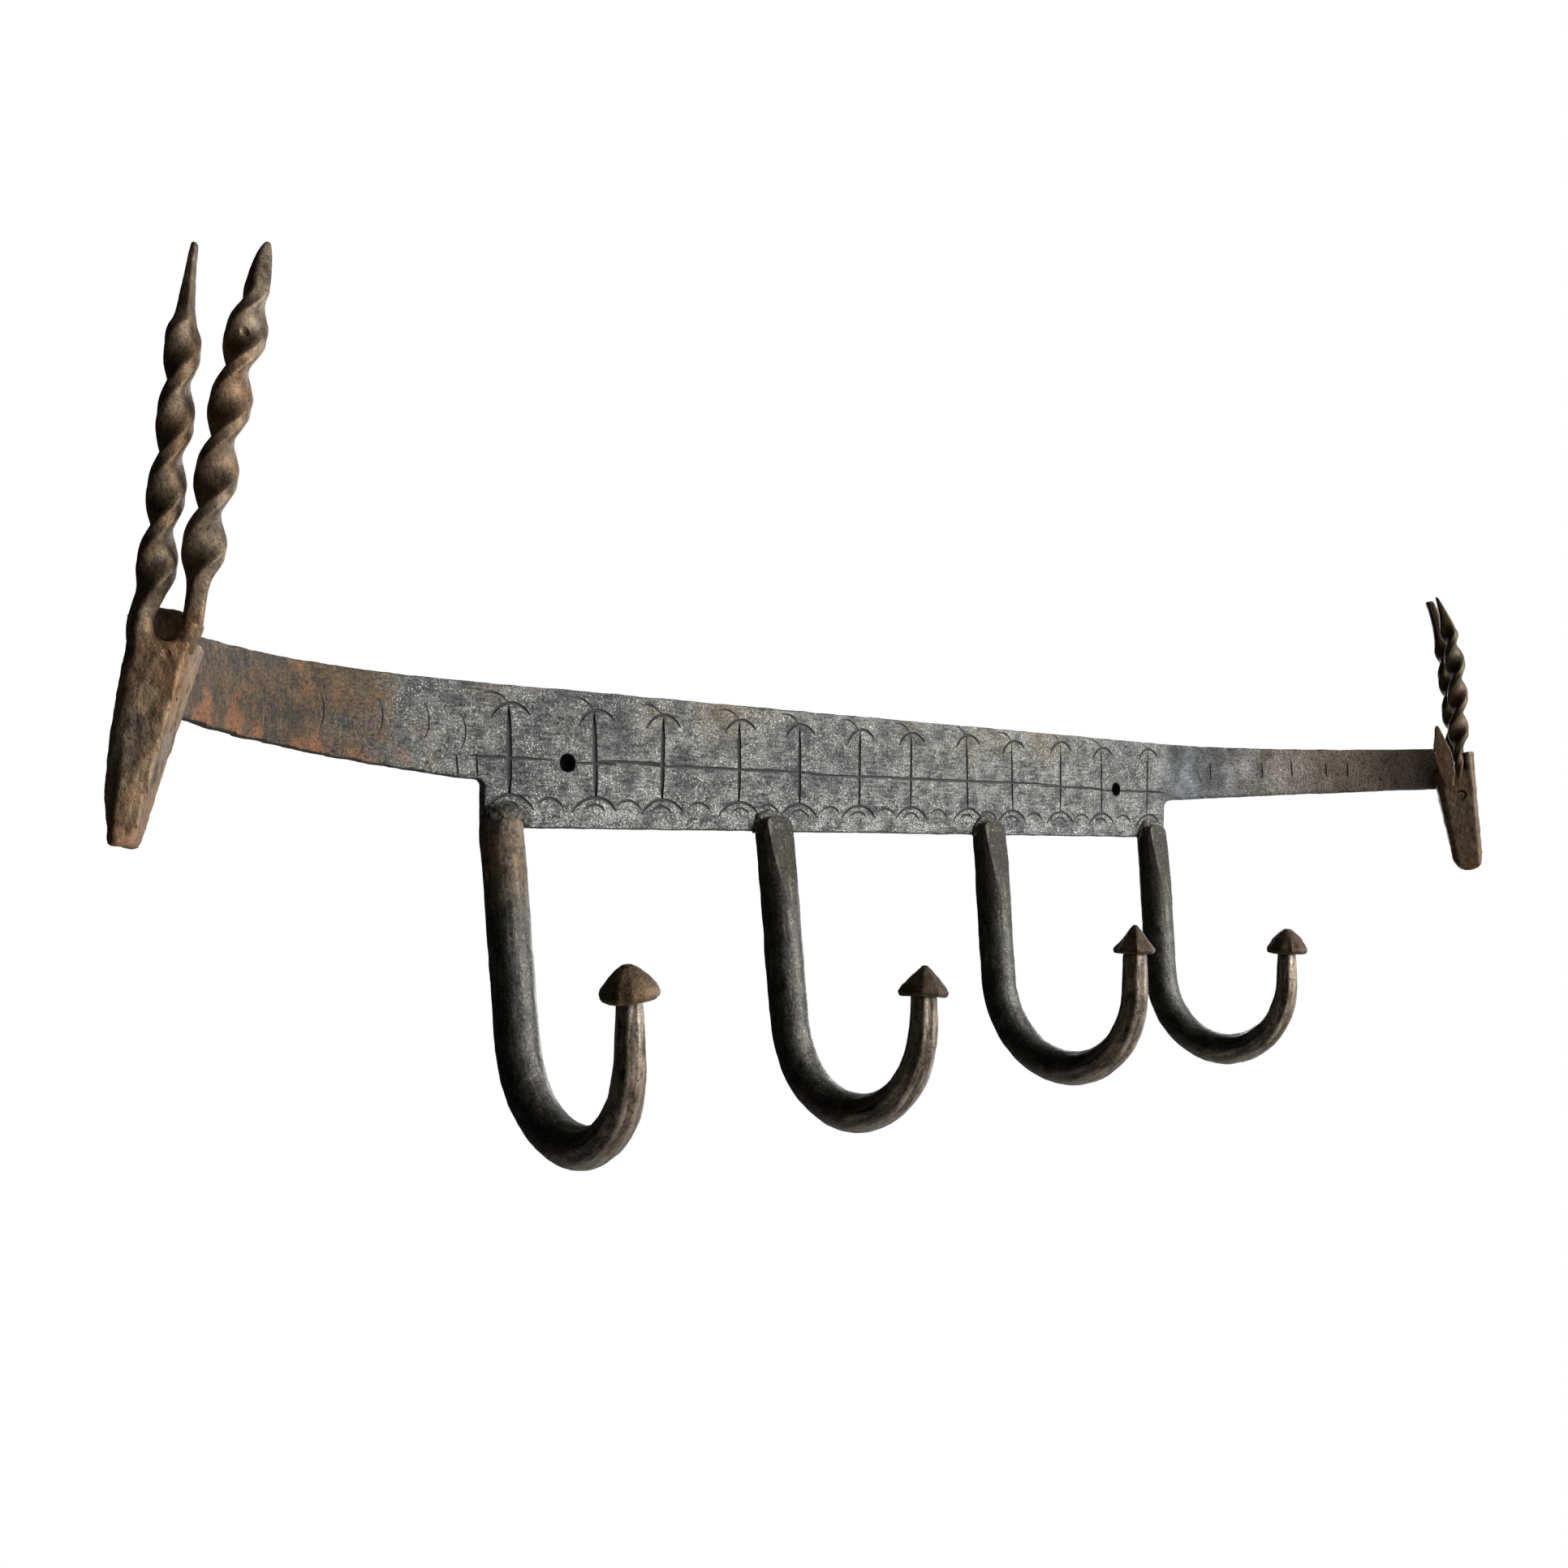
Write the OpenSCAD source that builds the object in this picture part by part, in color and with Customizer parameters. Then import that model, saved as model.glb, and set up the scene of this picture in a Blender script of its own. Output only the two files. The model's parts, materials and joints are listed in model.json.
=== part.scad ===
// Hand-forged wall rack: a flat iron bar whose ends bend forward and carry two
// horned animal heads, with four round-bar hooks welded to its lower edge.
// +X runs along the rack, +Z is up and the front faces -Y. The wall is y = 0.
// The origin lies on the wall, midway between the two screw holes.

/* [Back bar] */
// Thickness of the flat bar
bar_t = 5; // [4:0.5:8]
// Distance from the middle of the screw holes to the left end of the plate
plate_left = 200; // [190:1:260]
// Distance from the middle of the screw holes to the right end of the plate
plate_right = 206; // [198:1:260]
// Height of the plate at its left end
plate_h_left = 51; // [46:0.5:70]
// Height of the plate at its right end
plate_h_right = 49; // [46:0.5:70]
// Distance between the two screw holes
hole_pitch = 330; // [240:1:360]
// Diameter of the screw holes
hole_d = 6.5; // [4:0.1:9]
// Height of the screw holes above the lower edge of the plate
hole_h = 24; // [16:0.5:30]

/* [Arms] */
// Radius of the front face of each arm's bend
arm_bend_r = 168; // [140:1:220]
// Angle through which each arm bends forward
arm_angle = 56; // [45:1:70]
// Height of the left arm where it leaves the plate
arm_root_left = 34.5; // [28:0.5:40]
// Height of the right arm where it leaves the plate
arm_root_right = 29.5; // [28:0.5:40]
// Height of the left arm at its end
arm_end_left = 22.5; // [18:0.5:27]
// Height of the right arm at its end
arm_end_right = 22; // [18:0.5:27]
// Radius of the inside corner between the right arm and the plate
step_r = 5; // [2:0.5:10]

/* [Hooks] */
// Diameter of the round bar
rod_d = 16; // [12:0.5:20]
// Diameter of the drawn-down neck under a cap
neck_d = 8.8; // [6:0.2:11]
// How far a hook laps up the front of the plate
lap_h = 6; // [3:0.5:10]
// Place of each hook along the rack
hook_x = [-195, -67.5, 64.5, 191]; // [-220:0.5:220]
// Depth of each hook below the plate
hook_drop = [114, 116.5, 111, 113]; // [100:0.5:140]
// Distance from the wall to the middle of each neck
hook_reach = [84.5, 91, 88.5, 84.5]; // [78:0.5:110]
// Distance from the wall to the lowest point of each bend
hook_low = [55, 53.5, 53.5, 50]; // [46:0.5:70]
// Radius of the rear half of each bend at the middle of the bar
hook_back_r = [37, 36.5, 40.5, 37]; // [32:0.5:48]
// Depth of each cap's underside below the plate
cap_drop = [55, 61.5, 51, 56]; // [45:0.5:64]

/* [Caps] */
// Width of each cap across its corners
cap_d = [20.2, 19.4, 18.4, 19.4]; // [14:0.2:24]
// Height of each cap
cap_h = [11, 11.5, 12, 11.5]; // [8:0.5:16]
// Height of the thin rim round a cap
cap_rim = 1.4; // [0.8:0.1:3]
// Number of hammered faces round a cap
cap_sides = 8; // [6:1:12]

/* [Welds] */
// Radius of the weld bead round the top of each hook
weld_r = 1.6; // [1.4:0.1:3]

/* [Heads] */
// Length of the left and right head below the seat of the horns
head_len = [53.5, 54]; // [36:0.5:64]
// Width of the left and right head at the top
head_w = [16.4, 15]; // [13:0.2:20]
// Width of the muzzle
muzzle_w = 6; // [5:0.5:12]
// Depth of a head from back to forehead
head_d = 22; // [20:0.5:28]
// Depth of the muzzle
muzzle_d = 14; // [10:0.5:18]
// Width of the bevels along a head
head_bevel = 2.5; // [1.5:0.5:3]
// How far the left and right seat of the horns lies below the top of the arm
seat_drop = [7, 13]; // [6:0.5:16]
// Length of arm let into the back of a head
let_in = 8; // [5:0.5:10]
// Height of the left and right forehead above the seat of the horns
brow_h = [0, 9.5]; // [0:0.5:12]
// Thickness of a forehead that stands above the seat of the horns
brow_t = 5; // [3:0.5:6]
// Distance of the left and right head's middle from the middle of the arm, inwards
head_inset = [6.2, 5.8]; // [4:0.2:8]
// Forward tilt of both muzzles
head_tilt = 5; // [0:1:10]
// Sideways lean of the left and right head
head_lean = [8, 0]; // [0:0.5:10]

/* [Horns] */
// Length of the inner horn of the left and right head
horn_len = [105, 94]; // [70:0.5:130]
// How much shorter the outer horn of the left and right head is
horn_trim = [3.5, -0.5]; // [-5:0.5:10]
// Width of the flat bar that an inner and an outer horn are twisted from
horn_w = [10.8, 9.8]; // [8:0.2:13]
// Thickness of the flat bar that the horns are twisted from
horn_t = 5.4; // [4:0.2:7]
// Diameter of a horn at its root
horn_root_d = 6.4; // [5:0.2:7]
// Length of one full turn of the twist
horn_pitch = 37; // [25:1:60]
// Angle of the flat bar at the start of the twist, in the inner and outer horn
horn_start = [43, 103]; // [0:5:180]
// Width of the ledge in front of horns that have no forehead before them
horn_lip = 0.6; // [0.4:0.2:4]
// Distance between the roots of a pair of horns
horn_gap_root = 10.2; // [10:0.2:14]
// Distance between the tips of a pair of horns
horn_gap_tip = 17.6; // [14:0.2:30]
// Forward lean of the horns against the head
horn_rake = 2.5; // [0:0.5:8]
// Backward sweep of the horns' tips
horn_sweep = 8.5; // [0:0.5:12]
// Inward offset of the left and right pair of horns from the middle of the head
horn_inset = [2.4, 0]; // [0:0.2:3]
// Outward lean of the left and right pair of horns against the head
horn_lean = [0.6, 0]; // [-3:0.1:8]

/* [Ear] */
// Length of the right head's ear above the seat of the horns
ear_len = 25; // [6:0.5:30]
// Widest part of the ear
ear_w = 9.5; // [6:0.5:12]
// Thickness of the ear
ear_t = 2.4; // [1.6:0.2:4]
// Length of the stem that is laid on the side of the head
ear_stem = 8; // [5:0.5:10]

/* [Hidden] */
$fn = 48;

plate_low = -hole_h;
left = 0;
right = 1;
inner = -1;
outer = 1;
plate_end = [plate_left, plate_right];
plate_h = [plate_h_left, plate_h_right];
arm_root = [arm_root_left, arm_root_right];
arm_end = [arm_end_left, arm_end_right];
arm_mid_r = arm_bend_r + bar_t / 2;
arm_span = (arm_bend_r + bar_t) * sin(arm_angle);
head_front = head_d - let_in;

iron = "#3a3b3d";
rust_iron = "#5f4c3f";
weld_iron = "#4a4542";

// Closes a row of equal rings of points into one solid. Flat sides stay whole,
// and curved ones are split into triangles.
module loft(rings, flat = false) {
    count = len(rings[0]);
    last = len(rings) - 1;
    corners = [for (k = [0:last - 1], i = [0:count - 1])
        [k * count + i, (k + 1) * count + i, (k + 1) * count + (i + 1) % count, k * count + (i + 1) % count]];
    sides = flat ? corners : [for (c = corners) each [[c[0], c[1], c[3]], [c[3], c[1], c[2]]]];
    foot = [[for (i = [0:count - 1]) i]];
    top = [[for (i = [count - 1:-1:0]) last * count + i]];
    polyhedron([for (ring = rings) each ring], concat(foot, sides, top), convexity = 6);
}

// One half of the rack, drawn as the right half and mirrored for the left
module on_side(side) mirror([side == left ? 1 : 0, 0, 0]) children();

// The end of an arm: +X forward out of it, -Y towards the middle of the rack,
// and z = 0 on the seat of the horns
module at_arm_end(side)
    on_side(side)
        translate([plate_end[side] + arm_mid_r * sin(arm_angle) + let_in * cos(arm_angle),
                arm_mid_r * cos(arm_angle) - arm_bend_r - bar_t - let_in * sin(arm_angle),
                plate_low + plate_h[side] - seat_drop[side]])
            rotate([0, 0, -arm_angle]) children();

// A head is lapped on the inside of its arm's end, tilted and leaning
module at_head(side)
    at_arm_end(side) translate([0, -head_inset[side], 0])
        rotate([head_lean[side], -head_tilt, 0]) children();

// The notch for the arm's end in the outer back corner of a head
module lap_notch(side)
    at_arm_end(side) translate([-2 * let_in, -bar_t / 2, seat_drop[side] - arm_end[side]])
        cube([2 * let_in, head_w[side], 2 * arm_end[side]]);

// Back bar: its outline from above, bent at both ends, cut to its outline from the front
arm_steps = 24;
function arc_point(side, r, a) = [plate_end[side] + r * sin(a), r * cos(a) - arm_bend_r - bar_t];
function lap_end(side, r) =
    arc_point(side, r, arm_angle) + let_in * [cos(arm_angle), -sin(arm_angle)];
function arm_plan(side) = concat(
    [for (k = [0:arm_steps]) arc_point(side, arm_bend_r, arm_angle * k / arm_steps)],
    [lap_end(side, arm_bend_r), lap_end(side, arm_bend_r + bar_t)],
    [for (k = [arm_steps:-1:0]) arc_point(side, arm_bend_r + bar_t, arm_angle * k / arm_steps)]);
function mirrored(points) = [for (k = [len(points) - 1:-1:0]) [-points[k][0], points[k][1]]];

fillet_steps = 6;
reach = [for (side = [left, right]) plate_end[side] + arm_span + 2 * let_in];
function arm_low(side) = plate_low + plate_h[side] - arm_root[side];
function end_low(side) = plate_low + plate_h[side] - arm_end[side];
bar_front = concat(
    [[-reach[left], plate_low + plate_h_left], [-reach[left], end_low(left)],
        [-plate_left - arm_span, end_low(left)], [-plate_left, arm_low(left)],
        [-plate_left, plate_low], [plate_right, plate_low]],
    [for (k = [0:fillet_steps]) let (a = 180 - 90 * k / fillet_steps)
        [plate_right + step_r + step_r * cos(a), arm_low(right) - step_r + step_r * sin(a)]],
    [[plate_right + arm_span, end_low(right)], [reach[right], end_low(right)],
        [reach[right], plate_low + plate_h_right], [plate_right, plate_low + plate_h_right],
        [-plate_left, plate_low + plate_h_left]]);

module back_bar() color(iron) difference() {
    intersection() {
        translate([0, 0, 2 * plate_low]) linear_extrude(4 * plate_h_left)
            polygon(concat(arm_plan(right), mirrored(arm_plan(left))));
        translate([0, bar_t, 0]) rotate([90, 0, 0]) linear_extrude(arm_bend_r) polygon(bar_front);
    }
    for (x = [-hole_pitch / 2, hole_pitch / 2])
        translate([x, bar_t, 0]) rotate([90, 0, 0]) cylinder(d = hole_d, h = 3 * bar_t);
}

// The middle of the bar, which the hooks and their welds are fitted to
module plate()
    translate([-plate_left, -bar_t, plate_low])
        cube([plate_left + plate_right, bar_t, min(plate_h)]);

// Hooks: a straight shank, tangent to a bend of two radii, and an upright neck.
// Path points are [y, z], with z = 0 at the lower edge of the plate. Around the bend
// the angle runs from the shank through -90 at the lowest point to -180 at the neck.
hook_top = [-rod_d / 2, 0];
function bend_r(i, a) = a > -90 ? hook_back_r[i] : hook_reach[i] - hook_low[i];
function bend_mid(i, a) = [-hook_low[i], rod_d / 2 + bend_r(i, a) - hook_drop[i]];
function bend_point(i, a) = bend_mid(i, a) + bend_r(i, a) * [cos(a), sin(a)];
function to_bend(i) = bend_mid(i, 0) - hook_top;
function shank_angle(i) = atan2(to_bend(i)[1], to_bend(i)[0])
    + asin(hook_back_r[i] / norm(to_bend(i)));
function shank_len(i) = sqrt(pow(norm(to_bend(i)), 2) - pow(hook_back_r[i], 2));
function shank_point(i, s) = hook_top + s * [cos(shank_angle(i)), sin(shank_angle(i))];

// Half width of the bar along the neck, from the lowest point of the bend up to the cap
function bend_run(i, a) = max(0, (-90 - a) * PI / 180 * bend_r(i, a));
function neck_len(i) = -cap_drop[i] - bend_mid(i, -180)[1];
function taper_r(i, run) =
    (rod_d + (neck_d - rod_d) * run / (bend_run(i, -180) + neck_len(i))) / 2;

rod_sides = 16;
bend_steps = 22;
function rod_ring(i, mid, a, r) = [for (k = [0:rod_sides - 1])
    let (turn = 360 * k / rod_sides, out = r * cos(turn))
    [hook_x[i] + r * sin(turn), mid[0] + out * cos(a), plate_low + mid[1] + out * sin(a)]];

function shank_rings(i) = [for (step = [[-lap_h, 0.55], [-lap_h + rod_d / 10, 0.9],
        [-lap_h + rod_d / 5, 1], [shank_len(i) / 2, 1]])
    rod_ring(i, shank_point(i, step[0]), shank_angle(i) + 90, step[1] * rod_d / 2)];
function bend_rings(i) = let (start = shank_angle(i) + 90) [for (k = [0:bend_steps])
    let (a = start + (-180 - start) * k / bend_steps)
    rod_ring(i, bend_point(i, a), a, taper_r(i, bend_run(i, a)))];
function neck_rings(i) = [for (part = [0.5, 1])
    rod_ring(i, bend_point(i, -180) + [0, part * neck_len(i)], -180,
        taper_r(i, bend_run(i, -180) + part * neck_len(i)))];

module hook(i) color(iron) difference() {
    loft(concat(shank_rings(i), bend_rings(i), neck_rings(i)));
    translate([hook_x[i] - rod_d, -bar_t, plate_low]) cube([2 * rod_d, rod_d, 2 * lap_h]);
}

// Caps: low hammered points with a thin rim
function cap_ring(i, z, share) = [for (k = [0:cap_sides - 1])
    let (turn = 360 * (k + 0.5) / cap_sides, r = share * cap_d[i] / 2)
    [r * cos(turn), r * sin(turn), z]];

module hook_cap(i) color(rust_iron)
    translate([hook_x[i], -hook_reach[i], plate_low - cap_drop[i]])
        loft([cap_ring(i, 0, 0.94), cap_ring(i, cap_rim, 1), cap_ring(i, 0.62 * cap_h[i], 0.6),
            cap_ring(i, cap_h[i], 0.12)], flat = true);

// Welds: a bead round the top of each hook, in the corner between the hook and the plate
weld_arch = sqrt(pow(rod_d / 2, 2) - pow(rod_d / 2 - bar_t, 2));

module weld_ring(i)
    translate([hook_x[i], -bar_t, plate_low]) rotate([90, 0, 0])
        rotate_extrude($fn = 32) translate([weld_arch, 0]) circle(weld_r, $fn = 16);

module hook_weld(i) color(weld_iron) difference() {
    intersection() {
        weld_ring(i);
        translate([weld_r / 2 - plate_left, -rod_d, plate_low - weld_r / 2])
            cube([plate_left + plate_right - weld_r, 2 * rod_d, 2 * rod_d]);
    }
    plate();
    hook(i);
}

// Heads: a bevelled block that narrows to the muzzle, with a raised forehead
function head_ring(z, back, front, w, bevel) = [
    [back + bevel, -w / 2, z], [front - bevel, -w / 2, z],
    [front, bevel - w / 2, z], [front, w / 2 - bevel, z],
    [front - bevel, w / 2, z], [back + bevel, w / 2, z],
    [back, w / 2 - bevel, z], [back, bevel - w / 2, z]];

muzzle_round = 3;
module head_block(side) {
    muzzle_back = head_front - muzzle_d;
    loft([
        head_ring(-head_len[side], muzzle_back + muzzle_round / 2, head_front - muzzle_round / 2,
            muzzle_w - muzzle_round, head_bevel * 0.6),
        head_ring(muzzle_round - head_len[side], muzzle_back, head_front, muzzle_w, head_bevel * 0.8),
        head_ring(brow_h[side], -let_in, head_front, head_w[side], head_bevel)], flat = true);
}

// The seat of the horns, cut down behind a forehead that stands above it
module horn_seat(side) if (brow_h[side] > 0)
    translate([-2 * let_in, -head_w[side], 0])
        cube([2 * let_in + head_front - brow_t, 2 * head_w[side], 2 * brow_h[side]]);

module head(side) color(rust_iron) difference() {
    at_head(side) head_block(side);
    at_head(side) horn_seat(side);
    lap_notch(side);
}

// Horns: flat bar twisted about its length, round at the root and pointed at the tip
horn_sides = 12;
horn_steps = 44;
function horn_n(side) = head_front - (brow_h[side] > 0 ? brow_t : horn_lip) - horn_root_d / 2;
root_end = 0.17;
twist_end = [0.78, 0.73];
tip_share = 0.12;
function ease(x) = let (u = min(1, max(0, x))) u * u * (3 - 2 * u);
function horn_ring(side, hand, part) =
    let (pick = hand == inner ? 0 : 1,
        length = horn_len[side] - pick * horn_trim[side],
        z = part * length,
        grow = ease(part / root_end),
        end = twist_end[pick],
        tip = max(0, part - end) / (1 - end),
        a = (horn_root_d + (horn_w[pick] - horn_root_d) * grow) / 2
            * (1 - (1 - tip_share) * pow(tip, 0.6)),
        b = (horn_root_d + (horn_t - horn_root_d) * grow) / 2 * (1 - (1 - 2 * tip_share) * tip),
        twisted = min(end, max(root_end, part)) - root_end,
        turn = (side == left ? -1 : 1) * (horn_start[pick] + 360 * twisted * length / horn_pitch),
        n = horn_n(side) + z * tan(horn_rake) - horn_sweep * pow(part, 4),
        w = hand * (horn_gap_root + (horn_gap_tip - horn_gap_root) * part * part) / 2
            + z * tan(horn_lean[side]) - horn_inset[side])
    [for (k = [0:horn_sides - 1])
        let (t = 360 * k / horn_sides, u = a * cos(t), v = b * sin(t))
        [n + u * cos(turn) - v * sin(turn), w + u * sin(turn) + v * cos(turn), z]];

module horn(side, hand) color(rust_iron)
    at_head(side) loft([for (k = [0:horn_steps]) horn_ring(side, hand, k / horn_steps)]);

// Ear: a thin leaf on the sloping inner side of the right head
side_slope = atan((head_w[right] - muzzle_w) / 2 / (brow_h[right] + head_len[right] - muzzle_round));
side_w = head_w[right] / 2 - brow_h[right] * tan(side_slope);

module ear_outline()
    polygon([[-ear_w * 0.2, -ear_stem], [ear_w * 0.2, -ear_stem], [ear_w * 0.35, 0],
        [ear_w * 0.25, ear_len * 0.4], [-ear_w * 0.35, ear_len], [-ear_w * 0.5, ear_len],
        [-ear_w * 0.75, ear_len * 0.4], [-ear_w * 0.5, 0]]);

module ear_right() color(rust_iron)
    at_head(right) mirror([0, 1, 0])
        translate([0, side_w, 0]) rotate([90 - side_slope, 0, 0])
            translate([0, 0, -ear_t]) linear_extrude(ear_t) ear_outline();

back_bar();
hook(0);  // hook_1
hook(1);  // hook_2
hook(2);  // hook_3
hook(3);  // hook_4
hook_cap(0);  // hook_cap_1
hook_cap(1);  // hook_cap_2
hook_cap(2);  // hook_cap_3
hook_cap(3);  // hook_cap_4
hook_weld(0);  // hook_weld_1
hook_weld(1);  // hook_weld_2
hook_weld(2);  // hook_weld_3
hook_weld(3);  // hook_weld_4
head(left);  // head_left
head(right);  // head_right
horn(left, inner);  // horn_left_inner
horn(left, outer);  // horn_left_outer
horn(right, inner);  // horn_right_inner
horn(right, outer);  // horn_right_outer
ear_right();
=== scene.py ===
# Hand-forged wall rack: chisel-marked flat bar, four welded hooks, two horned animal heads.
# Sizes are millimetres unless a line says otherwise; Blender gets metres through mm.
import json
import math
import random
from functools import partial

import bmesh
import bpy
from mathutils import Matrix, Vector
from mathutils.kdtree import KDTree

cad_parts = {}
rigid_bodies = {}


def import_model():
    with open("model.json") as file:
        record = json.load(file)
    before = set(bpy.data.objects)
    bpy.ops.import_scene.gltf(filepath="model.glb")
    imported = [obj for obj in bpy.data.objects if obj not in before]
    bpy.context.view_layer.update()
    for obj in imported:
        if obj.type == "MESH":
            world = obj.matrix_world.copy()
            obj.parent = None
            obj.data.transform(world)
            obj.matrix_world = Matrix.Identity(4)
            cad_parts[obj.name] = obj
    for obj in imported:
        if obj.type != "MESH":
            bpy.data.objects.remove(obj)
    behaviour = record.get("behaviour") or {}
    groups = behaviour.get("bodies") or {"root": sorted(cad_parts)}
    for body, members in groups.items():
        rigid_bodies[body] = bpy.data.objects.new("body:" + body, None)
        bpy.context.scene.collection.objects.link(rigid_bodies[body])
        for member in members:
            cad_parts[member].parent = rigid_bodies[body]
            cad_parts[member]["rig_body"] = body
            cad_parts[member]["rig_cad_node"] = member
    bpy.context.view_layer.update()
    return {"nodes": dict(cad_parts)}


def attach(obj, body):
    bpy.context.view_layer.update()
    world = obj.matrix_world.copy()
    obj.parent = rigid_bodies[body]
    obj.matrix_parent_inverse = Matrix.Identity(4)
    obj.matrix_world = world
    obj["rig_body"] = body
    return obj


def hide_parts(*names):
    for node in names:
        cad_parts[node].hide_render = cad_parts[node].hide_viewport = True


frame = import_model()
random.seed(7)
mm = 0.001
smoothAngle = 35      # degrees; sharper edges stay sharp
print("frame loaded:", len(frame["nodes"]), "nodes")


# general hand tools

def deselect():
    bpy.ops.object.select_all(action="DESELECT")


def only(piece):
    deselect()
    piece.select_set(True)
    bpy.context.view_layer.objects.active = piece


def named(name):
    piece = bpy.context.object
    piece.name = name
    piece.data.name = name
    bpy.ops.object.transform_apply(location=True, rotation=True, scale=True)
    return piece


def at(x, y, z):
    return Vector((x, y, z)) * mm


def pickAll():
    bpy.ops.mesh.select_all(action="SELECT")


def openMesh(piece):  # edit mode with everything selected
    only(piece)
    bpy.ops.object.mode_set(mode="EDIT")
    pickAll()


def closeMesh():
    bpy.ops.object.mode_set(mode="OBJECT")


def faceOut():  # turns every face outwards and leaves edit mode
    pickAll()
    bpy.ops.mesh.normals_make_consistent(inside=False)
    closeMesh()


def pickPoints(piece, test):  # edit mode: selects the points that pass, and counts them
    bpy.ops.mesh.select_mode(type="VERT")
    bpy.ops.mesh.select_all(action="DESELECT")
    mesh = bmesh.from_edit_mesh(piece.data)
    for vert in mesh.verts:
        vert.select = bool(test(vert))
    mesh.select_flush(True)
    bmesh.update_edit_mesh(piece.data)
    return sum(vert.select for vert in mesh.verts)


def pickVerts(piece, test):  # the same, by the place in mm
    return pickPoints(piece, lambda vert: test(vert.co / mm))


def pickFaces(piece, test):  # edit mode: selects the faces whose middle, in mm, and normal pass
    bpy.ops.mesh.select_mode(type="FACE")
    bpy.ops.mesh.select_all(action="DESELECT")
    mesh = bmesh.from_edit_mesh(piece.data)
    for face in mesh.faces:
        face.select_set(bool(test(face.calc_center_median() / mm, face.normal)))
    bmesh.update_edit_mesh(piece.data)


def turn(degrees, axis, centre):  # with no window the operator turns the other way
    bpy.ops.transform.rotate(value=-math.radians(degrees), orient_axis=axis, center_override=centre)


def push(step):
    bpy.ops.transform.translate(value=step)


def pull(step):
    bpy.ops.mesh.extrude_region_move(TRANSFORM_OT_translate={"value": step})


def swell(factors, centre):
    bpy.ops.transform.resize(value=factors, center_override=centre)


def finishWith(piece, kind, **settings):
    only(piece)
    modifier = piece.modifiers.new(kind.title(), kind)
    for key, value in settings.items():
        setattr(modifier, key, value)
    bpy.ops.object.modifier_apply(modifier=modifier.name)


def roughen(piece, grain, depth, way="NORMAL"):  # forging dents: grain wide, depth deep
    texture = bpy.data.textures.new(piece.name + "Dents", type="CLOUDS")
    texture.noise_scale = grain * mm
    finishWith(piece, "DISPLACE", texture=texture, texture_coords="LOCAL", direction=way,
               strength=depth * mm, mid_level=0.5)


def soften(piece, times):
    finishWith(piece, "SMOOTH", factor=0.5, iterations=times)


def recast(piece, look):  # one even skin over all that the piece is made of
    finishWith(piece, "REMESH", mode="VOXEL", voxel_size=look["cell"] * mm)
    soften(piece, look["soft"])


def copyNode(node, name):  # a merged copy of a solid, to be worked on as a blank
    piece = frame["nodes"][node].copy()
    piece.data = frame["nodes"][node].data.copy()
    bpy.context.scene.collection.objects.link(piece)
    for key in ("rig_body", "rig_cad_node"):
        del piece[key]
    piece.parent = None
    piece.name = name
    piece.data.name = name
    piece.data.materials.clear()
    openMesh(piece)
    bpy.ops.mesh.remove_doubles(threshold=0.01 * mm)
    closeMesh()
    return piece


def carve(piece, cutter):
    finishWith(piece, "BOOLEAN", object=cutter, operation="DIFFERENCE", solver="MANIFOLD",
               material_mode="TRANSFER")
    bpy.data.objects.remove(cutter)


def joined(pieces, name):
    only(pieces[0])
    for piece in pieces:
        piece.select_set(True)
    bpy.ops.object.join()
    piece = named(name)
    openMesh(piece)
    bpy.ops.mesh.remove_doubles(threshold=0.002 * mm)       # closes the seams
    faceOut()
    return piece


def trimFolds(piece):  # a cut can leave the same sliver on both sides of a corner; both slivers go
    def onFold(vert):
        return len(vert.link_edges) == 2
    openMesh(piece)
    if pickPoints(piece, onFold):
        bpy.ops.mesh.select_more()
        bpy.ops.mesh.quads_convert_to_tris()
        while pickPoints(piece, onFold):
            bpy.ops.mesh.delete(type="VERT")
    closeMesh()


def handIn(piece, node):
    trimFolds(piece)
    bpy.ops.object.shade_smooth_by_angle(angle=math.radians(smoothAngle))
    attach(piece, "root")
    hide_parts(node)


# materials

def toLinear(code):
    parts = [int(code[k:k + 2], 16) / 255 for k in (1, 3, 5)]
    return [*(c / 12.92 if c <= 0.04045 else ((c + 0.055) / 1.055) ** 2.4 for c in parts), 1]


def feed(node, inputs):  # by the names of the sockets, or a list in their order
    for key, value in inputs.items() if isinstance(inputs, dict) else enumerate(inputs):
        if isinstance(value, bpy.types.NodeSocket):
            node.id_data.links.new(value, node.inputs[key])
        else:
            node.inputs[key].default_value = toLinear(value) if isinstance(value, str) else value


def addNode(tree, kind, inputs=None, **settings):
    node = tree.nodes.new("ShaderNode" + kind)
    for key, value in settings.items():
        setattr(node, key, value)
    feed(node, inputs or {})
    return node.outputs


def startMaterial(name):
    material = bpy.data.materials.new(name)
    material.use_nodes = True
    shader = material.node_tree.nodes["Principled BSDF"]
    add = partial(addNode, material.node_tree)
    return material, shader, add, add("TexCoord")["Object"]


ironLooks = {
    "speckle": 1.2,     # wire-brushed pits and bright points
    "mottle": 7,        # scale that came off in flakes
    "cloud": 34,        # broad colour change along the bar
}


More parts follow.
